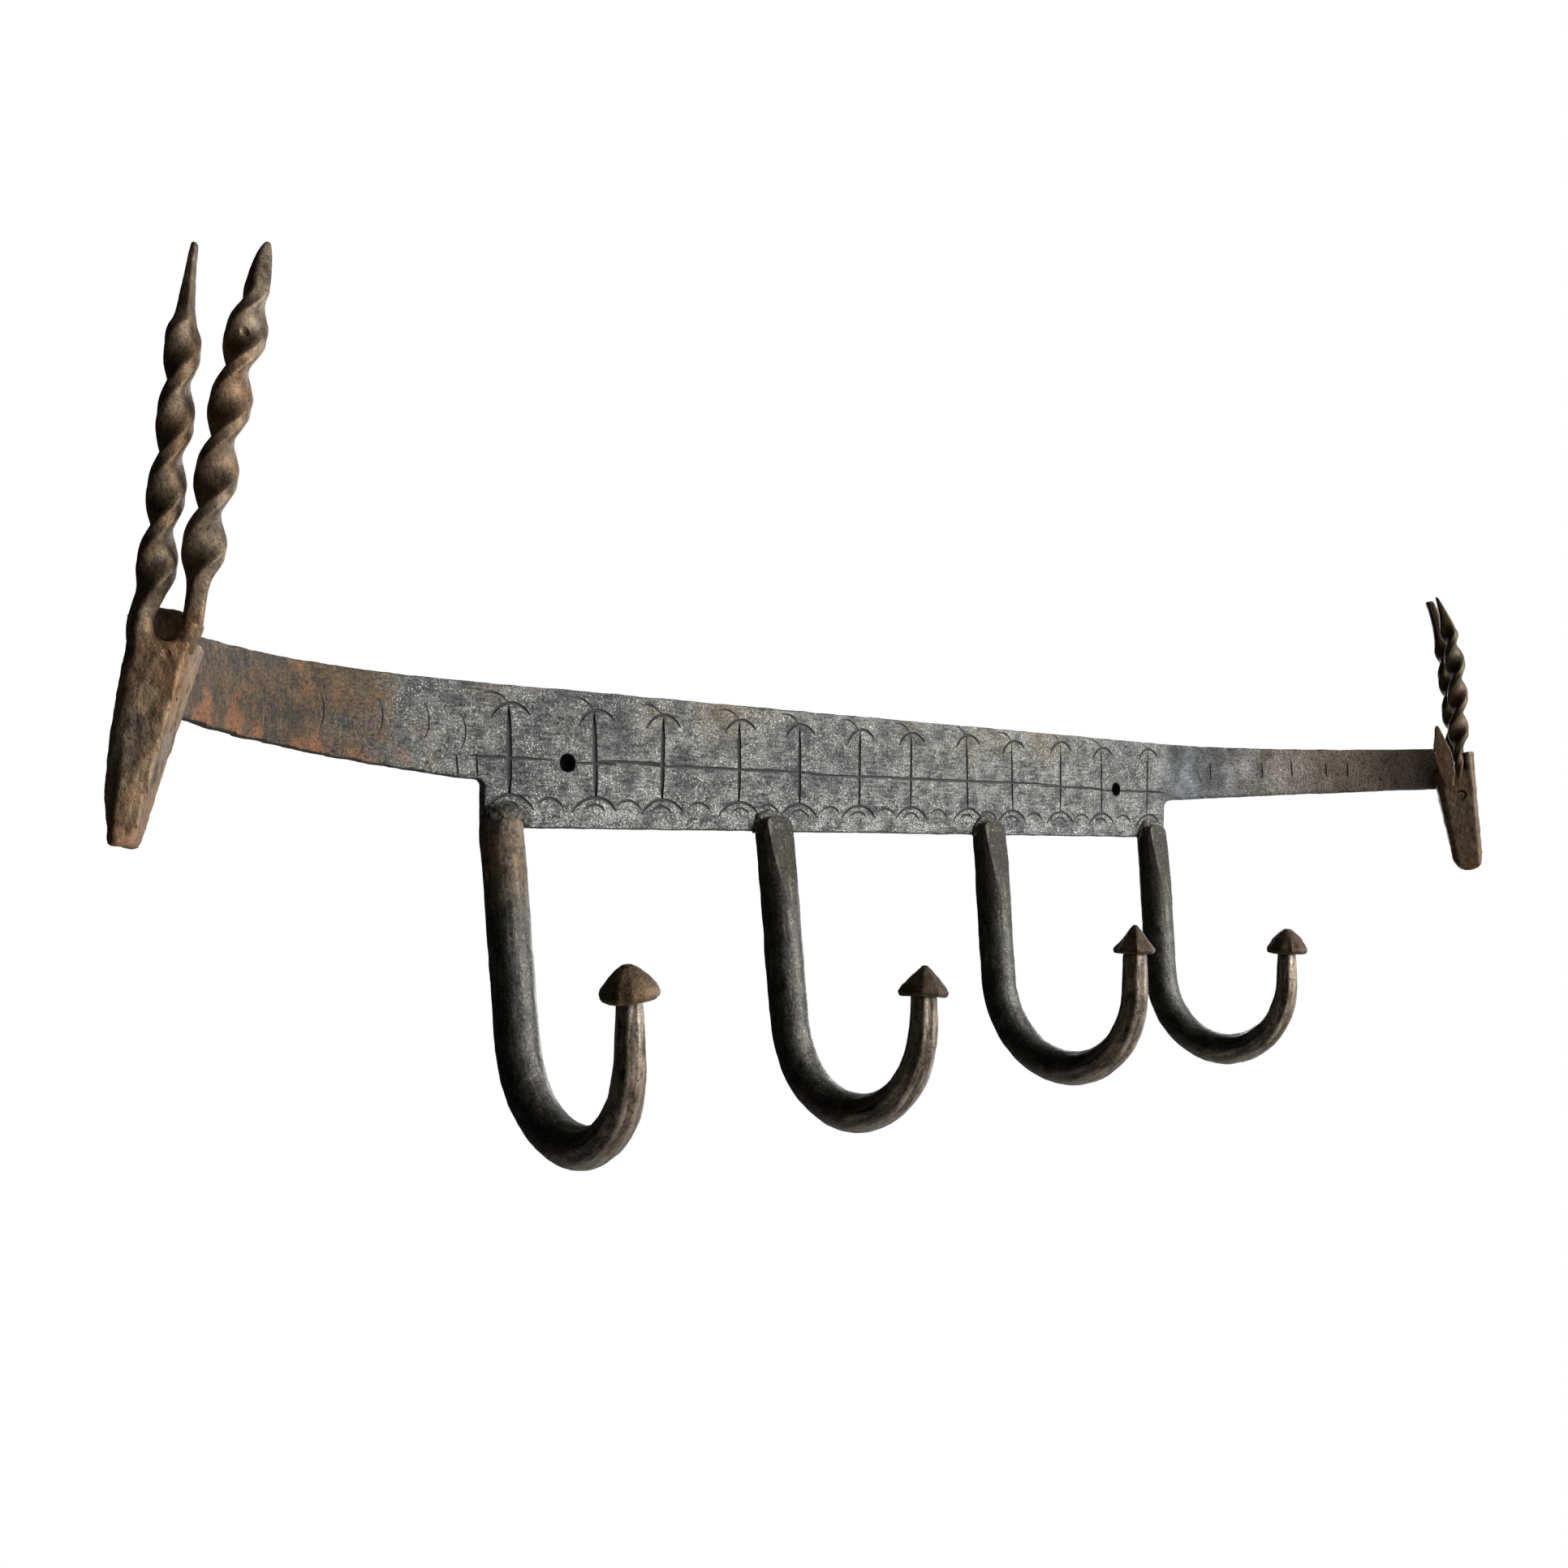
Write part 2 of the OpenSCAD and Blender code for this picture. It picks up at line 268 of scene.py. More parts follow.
# Wire-brushed wrought iron bar: grey metal with dark pits and pale points,
# tan dust along the top, rust on the left arm, blue-black scale on the right arm, painted shade on the edges.
def makeBarIron():
    material, shader, add, place = startMaterial("wroughtBarIron")
    speckle = add("TexNoise", {"Vector": place, "Scale": 1 / (ironLooks["speckle"] * mm),
                                         "Detail": 4, "Roughness": 0.7})[0]
    mottle = add("TexNoise", {"Vector": place, "Scale": 1 / (ironLooks["mottle"] * mm),
                                        "Detail": 4, "Roughness": 0.65})[0]
    cloud = add("TexNoise", {"Vector": place, "Scale": 1 / (ironLooks["cloud"] * mm), "Detail": 3})[0]
    across = add("Mapping", {"Vector": place, "Scale": (0.16, 1, 1)})["Vector"]
    brushed = add("TexNoise", {"Vector": across, "Scale": 1 / (0.9 * mm), "Detail": 3})[0]
    fine = add("TexNoise", {"Vector": place, "Scale": 1 / (0.6 * mm), "Detail": 2})[0]
    axes = add("SeparateXYZ", {"Vector": place})
    worked = add("Math", [mottle, brushed], operation="ADD")[0]
    grey = add("MapRange", [worked, 0.78, 1.22])[0]
    colour = add("Mix", {0: grey, 6: "#323535", 7: "#747571"}, data_type="RGBA")[2]
    dull = add("MapRange", [cloud, 0.52, 0.36, 0, 0.5])[0]
    tanHeight = add("MapRange", [axes["Z"], 5 * mm, 24 * mm])[0]
    tanCloud = add("MapRange", [cloud, 0.46, 0.6])[0]
    tan = add("Math", [tanHeight, tanCloud], operation="MULTIPLY")[0]
    tanPart = add("Math", [tan, 0.5], operation="MULTIPLY")[0]
    # left arm: brown rust with dark flakes of scale, redder along its lower edge
    rustReach = add("MapRange", [axes["X"], -208 * mm, -290 * mm])[0]
    rustSum = add("Math", [rustReach, cloud], operation="ADD")[0]
    rustSum = add("Math", [rustSum, mottle], operation="ADD")[0]
    rust = add("MapRange", [rustSum, 1.2, 1.6])[0]
    rustHue = add("Mix", {0: grey, 6: "#322717", 7: "#624b2d"}, data_type="RGBA")[2]
    blotch = add("TexNoise", {"Vector": place, "Scale": 1 / (17 * mm), "Detail": 5, "Roughness": 0.6})[0]
    lowEdge = add("MapRange", [axes["Z"], 14 * mm, -6 * mm, 0, 0.16])[0]
    redSum = add("Math", [blotch, lowEdge], operation="ADD")[0]
    red = add("MapRange", [redSum, 0.58, 0.68, 0, 0.75])[0]
    red = add("Math", [red, rustReach], operation="MULTIPLY")[0]
    upright = add("Mapping", {"Vector": place, "Scale": (1, 1, 0.2)})["Vector"]
    scratch = add("TexNoise", {"Vector": upright, "Scale": 1 / (1.6 * mm), "Detail": 4})[0]
    flakes = add("Math", [scratch, blotch], operation="ADD")[0]
    burnt = add("MapRange", [flakes, 0.98, 0.84, 0, 0.85])[0]
    burnt = add("Math", [burnt, rustReach], operation="MULTIPLY")[0]
    # right arm: smooth blue-black scale, browner towards its end
    scaleReach = add("MapRange", [axes["X"], 193 * mm, 215 * mm])[0]
    sheen = add("MapRange", [blotch, 0.4, 0.62])[0]
    scaleHue = add("Mix", {0: sheen, 6: "#0f1112", 7: "#3d4245"}, data_type="RGBA")[2]
    scaleEnd = add("MapRange", [axes["X"], 240 * mm, 325 * mm])[0]
    scaleHue = add("Mix", {0: scaleEnd, 6: scaleHue, 7: "#56493d"}, data_type="RGBA")[2]
    scalePart = add("Math", [scaleReach, 0.92], operation="MULTIPLY")[0]
    # pits and bright points come in patches, and the points are sparse on the arms
    arms = add("Math", [rust, scaleReach], operation="MAXIMUM")[0]
    clean = add("MapRange", [arms, 0, 1, 1.0, 0.15])[0]
    pits = add("MapRange", [speckle, 0.49, 0.37, 0, 0.95])[0]
    pitPatch = add("MapRange", [mottle, 0.62, 0.42, 0.25])[0]
    pits = add("Math", [pits, pitPatch], operation="MULTIPLY")[0]
    lowBand = add("MapRange", [axes["Z"], -6 * mm, -20 * mm, 0, 0.05])[0]
    pointSum = add("Math", [fine, lowBand], operation="ADD")[0]
    points = add("MapRange", [pointSum, 0.56, 0.68, 0, 0.9])[0]
    pointPatch = add("MapRange", [mottle, 0.4, 0.58, 0.15])[0]
    points = add("Math", [points, pointPatch], operation="MULTIPLY")[0]
    points = add("Math", [points, clean], operation="MULTIPLY")[0]
    # painted shade: faces turned down, and the rounded top edge, are darkened by the way they face
    facing = add("SeparateXYZ", {"Vector": add("NewGeometry")["Normal"]})["Z"]
    under = add("MapRange", [facing, -0.3, -0.8, 0, 0.85])[0]
    above = add("MapRange", [facing, 0.35, 0.75, 0, 0.6])[0]
    edge = add("Math", [under, above], operation="MAXIMUM")[0]      # painted shade on the edges that face down and up
    gloss = add("MapRange", [speckle, 0.3, 0.7, 0.62, 0.34])[0]
    shine = add("MapRange", [sheen, 0, 1, 0.16, -0.1])[0]
    gloss = add("Math", [rust, 0.14, gloss], operation="MULTIPLY_ADD")[0]
    polish = add("Math", [scaleReach, shine, gloss], operation="MULTIPLY_ADD")[0]
    height = add("Math", [speckle, worked], operation="ADD")[0]
    relief = add("MapRange", [scaleReach, 0, 1, 1.0, 0.45])[0]
    bump = add("Bump", {"Height": height, "Strength": relief, "Distance": 0.75 * mm})["Normal"]
    metal = add("MapRange", [rust, 0, 1, 0.5, 0.3])[0]
    layers = ((dull, "#2c2e2e"), (tanPart, "#6a5c42"), (rust, rustHue), (red, "#8a5734"),
              (burnt, "#23211b"), (scalePart, scaleHue), (pits, "#151514"), (points, "#c6c7c2"),
              (edge, "#1d1b18"))
    for part, hue in layers:    # each one covers part of those before it
        colour = add("Mix", {0: part, 6: colour, 7: hue}, data_type="RGBA")[2]
    feed(shader, {"Base Color": colour, "Roughness": polish, "Normal": bump, "Metallic": metal})
    return material


# Chisel cut and screw hole: near black, painted shade of the recess over soot and old wax in the bottom of a
# mark
def makeCutShade():
    material, shader, add, place = startMaterial("shadedChiselCut")
    cutShadeNoise = add("TexNoise", {"Vector": place, "Scale": 1 / (2.5 * mm), "Detail": 3})[0]
    colour = add("Mix", {0: cutShadeNoise, 6: "#080808", 7: "#2a2a28"}, data_type="RGBA")[2]
    feed(shader, {"Base Color": colour, "Roughness": 0.7, "Metallic": 0.2})
    return material


# Round bar with fire scale: near black with a fine pale grain whose pale points are also painted glints,
# drawn out in streaks by the hammer, brown with orange spots at the weld and at the drawn-out tip.
def makeHookIron():
    material, shader, add, place = startMaterial("fireScaledRoundBar")
    way = add("Attribute", attribute_name="barWay")["Vector"]
    drawn = add("Mapping", {"Vector": way, "Scale": (1, 1, 0.11)})["Vector"]
    streak = add("TexNoise", {"Vector": drawn, "Scale": 1 / (2.2 * mm), "Detail": 4, "Roughness": 0.6})[0]
    grain = add("TexNoise", {"Vector": place, "Scale": 1 / (1.1 * mm), "Detail": 4, "Roughness": 0.7})[0]
    mottle = add("TexNoise", {"Vector": place, "Scale": 1 / (6 * mm), "Detail": 5, "Roughness": 0.65})[0]
    axes = add("SeparateXYZ", {"Vector": place})
    dark = add("MapRange", [mottle, 0.35, 0.68])[0]
    colour = add("Mix", {0: dark, 6: "#262522", 7: "#484742"}, data_type="RGBA")[2]
    topReach = add("MapRange", [axes["Z"], -72 * mm, -38 * mm])[0]
    tipReach = add("MapRange", [axes["Y"], -48 * mm, -80 * mm])[0]
    firstHook = add("MapRange", [axes["X"], -110 * mm, -170 * mm, 0.35])[0]
    otherHooks = add("Math", [1.0, firstHook], operation="SUBTRACT")[0]
    topSoot = add("Math", [topReach, otherHooks], operation="MULTIPLY")[0]
    topReach = add("Math", [topReach, firstHook], operation="MULTIPLY")[0]
    lowReach = add("MapRange", [axes["Z"], -108 * mm, -132 * mm, 0, 0.75])[0]
    brownReach = add("Math", [topReach, tipReach], operation="MAXIMUM")[0]
    brownReach = add("Math", [brownReach, lowReach], operation="MAXIMUM")[0]
    brownSum = add("Math", [brownReach, streak], operation="MULTIPLY")[0]
    brown = add("MapRange", [brownSum, 0.25, 0.6])[0]
    brownHue = add("Mix", {0: dark, 6: "#30271e", 7: "#8b755b"}, data_type="RGBA")[2]
    smoked = add("Math", [topReach, 0.12, topSoot], operation="MULTIPLY_ADD")[0]
    smoked = add("Math", [smoked, 0.75], operation="MULTIPLY")[0]
    rubbed = add("MapRange", [streak, 0.55, 0.72, 0, 0.4])[0]
    tipRub = add("MapRange", [streak, 0.48, 0.64])[0]
    tipRub = add("Math", [tipRub, tipReach], operation="MULTIPLY")[0]
    rubbed = add("Math", [rubbed, tipRub], operation="MAXIMUM")[0]
    spots = add("MapRange", [mottle, 0.64, 0.72])[0]
    spots = add("Math", [spots, brownReach], operation="MULTIPLY")[0]
    pits = add("MapRange", [grain, 0.46, 0.34, 0, 0.85])[0]
    # pale points of the grain, which also stand in as painted glints
    points = add("MapRange", [grain, 0.57, 0.7, 0, 0.75])[0]
    gloss = add("MapRange", [mottle, 0.3, 0.7, 0.32, 0.5])[0]
    gloss = add("Math", [topSoot, 0.35, gloss], operation="MULTIPLY_ADD")[0]
    gloss = add("Math", [topReach, 0.25, gloss], operation="MULTIPLY_ADD")[0]
    height = add("Math", [grain, streak], operation="ADD")[0]
    bump = add("Bump", {"Height": height, "Strength": 0.6, "Distance": 0.35 * mm})["Normal"]
    layers = ((brown, brownHue), (smoked, "#29251c"), (rubbed, "#948b7e"), (spots, "#86603f"),
              (pits, "#14130f"), (points, "#7e7b74"))
    for part, hue in layers:    # each one covers part of those before it
        colour = add("Mix", {0: part, 6: colour, 7: hue}, data_type="RGBA")[2]
    feed(shader, {"Base Color": colour, "Roughness": gloss, "Normal": bump, "Metallic": 0.65})
    return material


brownLooks = {
    "waxedRustIron": {"dark": "#6a5844", "light": "#927a5f", "ridge": "#a88c6b", "relief": 0.55,
                      "rough": (0.42, 0.62), "metal": 0.5, "patch": 0.7},
    "rubbedTwistIron": {"dark": "#43382c", "light": "#7d6c57", "ridge": "#80583d", "relief": 0.38,
                        "rough": (0.4, 0.53), "metal": 0.6, "patch": 0.35},
}


# Browned iron: old rust under wax on the heads and caps, rubbed on the twisted horns. Worn ridges are
# tan or red, hollows get painted shade, the caps are darker, and the right end of the rack gets painted
# shade.
def makeBrownIron(name):
    look = brownLooks[name]
    material, shader, add, place = startMaterial(name)
    grain = add("TexNoise", {"Vector": place, "Scale": 1 / (0.9 * mm), "Detail": 4, "Roughness": 0.65})[0]
    mottle = add("TexNoise", {"Vector": place, "Scale": 1 / (5.5 * mm), "Detail": 5, "Roughness": 0.65})[0]
    cloud = add("TexNoise", {"Vector": place, "Scale": 1 / (19 * mm), "Detail": 3})[0]
    upright = add("Mapping", {"Vector": place, "Scale": (1, 1, 0.28)})["Vector"]
    streak = add("TexNoise", {"Vector": upright, "Scale": 1 / (3 * mm), "Detail": 4})[0]
    axes = add("SeparateXYZ", {"Vector": place})
    ridge = add("NewGeometry")["Pointiness"]
    patchy = add("MapRange", [mottle, 0.34, 0.66])[0]
    colour = add("Mix", {0: patchy, 6: look["dark"], 7: look["light"]}, data_type="RGBA")[2]
    orange = add("MapRange", [cloud, 0.54, 0.68, 0, look["patch"]])[0]
    grey = add("MapRange", [cloud, 0.47, 0.34, 0, 0.8])[0]
    soot = add("MapRange", [streak, 0.47, 0.33, 0, 0.65])[0]
    worn = add("MapRange", [ridge, 0.52, 0.6, 0, 0.65])[0]
    # painted shade in the hollows, where the surface curves inwards
    paintedHollowShade = add("MapRange", [ridge, 0.485, 0.42, 0, 0.85])[0]
    pits = add("MapRange", [grain, 0.44, 0.32, 0, 0.7])[0]
    # painted shade on the right end of the rack, which faces away from the lamp; it deepens up the horns
    rightShadeAndDarkCaps = add("MapRange", [axes["X"], 230 * mm, 330 * mm, 0, 0.62])[0]
    hornShadeRise = add("MapRange", [axes["Z"], 20 * mm, 100 * mm, 1.05, 1.32])[0]
    rightShadeAndDarkCaps = add("Math", [rightShadeAndDarkCaps, hornShadeRise], operation="MULTIPLY")[0]
    # the caps are darker, cap 1 least
    capTone = add("MapRange", [axes["X"], -150 * mm, -80 * mm, 0.52, 0.86])[0]
    capDarker = add("MapRange", [axes["Z"], -48 * mm, -62 * mm, 0, capTone])[0]
    rightShadeAndDarkCaps = add("Math", [rightShadeAndDarkCaps, capDarker], operation="MAXIMUM")[0]
    handled = add("MapRange", [worn, 0, 1, 1.0, 0.35])[0]
    rightShadeAndDarkCaps = add("Math", [rightShadeAndDarkCaps, handled], operation="MULTIPLY")[0]
    leftEnd = add("Math", [axes["X"], -300 * mm], operation="LESS_THAN")[0]
    muzzle = add("MapRange", [axes["Z"], -25 * mm, -32 * mm, 0, 0.55])[0]
    muzzle = add("Math", [muzzle, leftEnd], operation="MULTIPLY")[0]
    gloss = add("MapRange", [grain, 0.3, 0.7, look["rough"][0], look["rough"][1]])[0]
    height = add("Math", [grain, mottle], operation="ADD")[0]
    bump = add("Bump", {"Height": height, "Strength": look["relief"], "Distance": 0.6 * mm})["Normal"]
    layers = ((orange, "#865f3c"), (grey, "#777062"), (soot, "#2a2119"), (worn, look["ridge"]),
              (paintedHollowShade, "#1c1510"), (pits, "#1a140f"), (rightShadeAndDarkCaps, "#281c0a"), (muzzle, "#8a5a3c"))
    for part, hue in layers:    # each one covers part of those before it
        colour = add("Mix", {0: part, 6: colour, 7: hue}, data_type="RGBA")[2]
    feed(shader, {"Base Color": colour, "Roughness": gloss, "Normal": bump, "Metallic": look["metal"],
                  "Specular IOR Level": 0.25})
    return material


# Weld bead: dark rough metal with pale points
def makeWeldIron():
    material, shader, add, place = startMaterial("rustedWeldBead")
    grain = add("TexNoise", {"Vector": place, "Scale": 1 / (1.4 * mm), "Detail": 4})[0]
    colour = add("Mix", {0: grain, 6: "#14120d", 7: "#433e33"}, data_type="RGBA")[2]
    points = add("MapRange", [grain, 0.54, 0.68, 0, 0.6])[0]
    bump = add("Bump", {"Height": grain, "Strength": 0.9, "Distance": 0.6 * mm})["Normal"]
    colour = add("Mix", {0: points, 6: colour, 7: "#8d8a80"}, data_type="RGBA")[2]
    feed(shader, {"Base Color": colour, "Roughness": 0.62, "Normal": bump, "Metallic": 0.4})
    return material


barIron = makeBarIron()
cutShadeIron = makeCutShade()
hookIron = makeHookIron()
brownIron = makeBrownIron("waxedRustIron")
twistIron = makeBrownIron("rubbedTwistIron")
weldIron = makeWeldIron()
print("materials made")

# back bar

bar = {
    "cell": 1.1, "soft": 2, "thick": 5, "left": -200, "right": 206, "bend": 168, "hammer": (13, 0.7),
    "skin": (3.2, 0.26), "edge": (9, 0.7), "holes": (-165, 165), "holeWide": 6.5, "holeWorn": 0.2,
    "lines": (-190, -153.2, -121.8, -83.5, -51, -16.4, 15.3, 52.3, 83.7, 119.7, 152, 190.5),
    "lineLow": -14, "lineTop": 19.5, "wide": (2.3, 1.2), "deep": 0.85, "midCut": (1.25, 0.6),
    "midLine": ((-206, -174, 0.8), (-163, -143, 0.3), (-152, -120, 1.3), (-134, -38, 0.6), (-52, 118, 0.4),
                (104, 154, -0.1), (146, 207, -0.6)),
    # gouge marks: radius, degrees round, wide, deep
    "gouges": {"umbrella": (9, 125, 1.15, 0.6), "shoulder": (9.2, 64, 1.0, 0.5),
               "canopy": (12, 112, 1.2, 0.6), "scallop": (7, 100, 1.05, 0.5), "arm": (10, 72, 0.7, 0.35)},
    "armAt": ((-268, 12), (-242, 12), (-222.5, 12), (-207.5, 9)),
    "short": (9, 0.9, 0.45),
    "shortAt": ((-211, -3), (-203, -2.5), (242, 11.5), (277, 13), (295, 14), (315, 14), (327, 14)),
}


def wedge(long, wide, deep):  # a chisel cut lying along Z on the wall side of y = 0, to be placed
    deselect()
    bpy.ops.mesh.primitive_cube_add(size=1, scale=(wide * mm, 2 * deep * mm, long * mm))
    piece = named("cut")
    openMesh(piece)
    bpy.ops.mesh.subdivide(number_cuts=3)
    pickVerts(piece, lambda p: p.y > 0.9 * deep)     # sharp bottom of the cut
    swell((0.15, 1, 0.85), (0, 0, 0))
    pickVerts(piece, lambda p: abs(p.z) > 0.45 * long)   # the cut runs out at both ends
    swell((0.3, 1, 1), (0, 0, 0))
    push((0, -0.6 * deep * mm, 0))
    closeMesh()
    piece.data.materials.append(cutShadeIron)
    return piece


def crescent(radius, spread, wide, deep):  # a gouge mark, open downwards, apex at the origin
    deselect()
    bpy.ops.mesh.primitive_torus_add(major_radius=radius * mm, minor_radius=wide / 2 * mm, major_segments=48,
                                     minor_segments=6, rotation=(math.pi / 2, 0, 0))
    piece = named("mark")
    openMesh(piece)
    low = radius * math.cos(math.radians(spread / 2))
    bpy.ops.mesh.bisect(plane_co=at(0, 0, low), plane_no=(0, 0, 1), use_fill=True, clear_inner=True)
    pickAll()
    swell((1, 2 * deep / wide, 1), (0, 0, 0))
    pickVerts(piece, lambda p: p.z < low + 0.16 * radius)
    push((0, -0.5 * deep * mm, 0))
    pickAll()
    push(at(0, 0, -radius))
    closeMesh()
    piece.data.materials.append(cutShadeIron)
    return piece


def onFront(x):  # where and which way the front of the bar is, at a distance x along its middle
    for side, end in ((-1, bar["left"]), (1, bar["right"])):
        past = side * (x - end)
        if past > 0:
            angle = past / bar["bend"]
            spot = (end + side * bar["bend"] * math.sin(angle),
                    bar["bend"] * math.cos(angle) - bar["bend"] - bar["thick"])
            return spot[0], spot[1], -side * angle
    return x, -bar["thick"], 0


def strike(shape, x, z, tilt=0.0, size=1.0):  # a copy of a mark, set on the front of the bar
    piece = shape.copy()
    piece.data = shape.data.copy()
    bpy.context.scene.collection.objects.link(piece)
    spotX, spotY, bend = onFront(x)
    piece.matrix_world = (Matrix.Translation(at(spotX, spotY, z)) @ Matrix.Rotation(bend, 4, "Z")
                          @ Matrix.Rotation(math.radians(tilt), 4, "Y") @ Matrix.Diagonal((size, 1, size, 1)))
    return piece


def stray(reach):
    return random.uniform(-reach, reach)


def makeMarks():  # groups of marks that don't cross, each one cutter
    lines, arches, shoulders, scallops = [], [], [], []
    shapes = {name: crescent(*size) for name, size in bar["gouges"].items()}
    shapes["short"] = wedge(*bar["short"])
    scallop = shapes["scallop"]
    low, top = bar["lineLow"], bar["lineTop"]
    for k, x in enumerate(bar["lines"]):
        faint = k / (len(bar["lines"]) - 1)
        wide = bar["wide"][0] + (bar["wide"][1] - bar["wide"][0]) * min(1, 1.5 * faint)
        deep = bar["deep"] * (1 - 0.35 * faint)
        lean = stray(1.5)
        rise = stray(1)
        line = wedge(top - low + rise + 1, wide, deep)
        lines.append(strike(line, x, (top + low + rise + 1) / 2, lean))
        bpy.data.objects.remove(line)
        # gouges over the line and beside its top, round its foot, below that and between the lines
        arches.append(strike(shapes["umbrella"], x, top + 1.4 + rise, random.uniform(-14, -4)))
        shoulders.append(strike(shapes["shoulder"], x - 5, top + 4.6 + rise, random.uniform(14, 24)))
        arches.append(strike(shapes["canopy"], x + stray(0.8), low + 1.6, stray(5)))
        shoulders.append(strike(scallop, x + stray(0.6), low - 1, stray(6), 0.85))
        if k + 1 < len(bar["lines"]):
            middle = (x + bar["lines"][k + 1]) / 2
            scallops.append(strike(scallop, middle + stray(1), low + 0.8, random.uniform(2, 14)))
    for k, (start, end, z) in enumerate(bar["midLine"]):
        line = wedge(end - start, *bar["midCut"])
        (shoulders, scallops)[k % 2].append(strike(line, (start + end) / 2, z, 90 + stray(0.4)))
        bpy.data.objects.remove(line)
    for x, z in bar["armAt"]:
        lines.append(strike(shapes["arm"], x, z, 90))
    for x, z in bar["shortAt"]:
        lines.append(strike(shapes["short"], x, z, stray(6)))
    for shape in shapes.values():
        bpy.data.objects.remove(shape)
    return [joined(marks, "chiselMarks") for marks in (lines, arches, shoulders, scallops)]


def makeBar():
    piece = copyNode("back_bar", "chiselMarkedBar")
    piece.data.materials.append(barIron)
    recast(piece, bar)
    for cutter in makeMarks():
        carve(piece, cutter)
    roughen(piece, *bar["hammer"], "Y")      # the dents bend the marks with the face
    roughen(piece, *bar["skin"], "Y")
    roughen(piece, *bar["edge"], "Z")
    for x in bar["holes"]:
        deselect()
        bpy.ops.mesh.primitive_cylinder_add(vertices=48, radius=(bar["holeWide"] / 2 + bar["holeWorn"]) * mm,
                                            depth=4 * bar["thick"] * mm, location=at(x, 0, 0),
                                            rotation=(math.pi / 2, 0, 0))
        punch = named("holePunch")
        # the hole walls get the same painted shade as the cuts
        punch.data.materials.append(cutShadeIron)
        carve(piece, punch)
    handIn(piece, "back_bar")


makeBar()
print("back bar made")

# hooks

hooks = {
    "rod": 16, "neck": (8.9, 10.2, 10.4, 8.8), "lap": 6, "plug": 2, "plateLow": -24, "front": -5, "sides": 16,
    "flat": 0.9, "topWide": 0.45, "top": ((0.7, 1.7), (1.6, 1.25), (2.2, 1.046)), "bendSteps": 10,
    "x": (-195, -67.5, 64.5, 191), "drop": (114, 116.5, 111, 113), "reach": (84.5, 91, 88.5, 84.5),
    "low": (55, 53.5, 53.5, 50), "backR": (37, 36.5, 40.5, 37), "capDrop": (55, 61.5, 51, 56),
    "scarf": (None, 3.2, 3.1, 3.3), "scarfUp": 3, "scarfSlope": 0.125, "scarfBlock": 80,
    "hammer": (10, 0.7), "skin": (2.6, 0.2),
}


def straighten(piece, path):  # writes where each point lies on the bar before it was bent: side, out, along
    knots = KDTree(len(path))
    done = [0]
    for k, spot in enumerate(path):
        knots.insert(spot, k)
        if k:
            done.append(done[-1] + (spot - path[k - 1]).length)
    knots.balance()
    way = piece.data.attributes.new("barWay", "FLOAT_VECTOR", "POINT")
    for vert in piece.data.vertices:
        k = min(max(knots.find(vert.co)[1], 1), len(path) - 1)
        best = None
        for j in (k, min(k + 1, len(path) - 1)):
            leg = path[j] - path[j - 1]
            share = min(1, max(0, (vert.co - path[j - 1]).dot(leg) / leg.length_squared))
            off = vert.co - path[j - 1] - leg * share
            if best is None or off.length < best[0].length:
                best = off, done[j - 1] + share * leg.length, leg.normalized()
        off, run, leg = best
        way.data[vert.index].vector = (off.x, off.y * leg.z - off.z * leg.y, run)


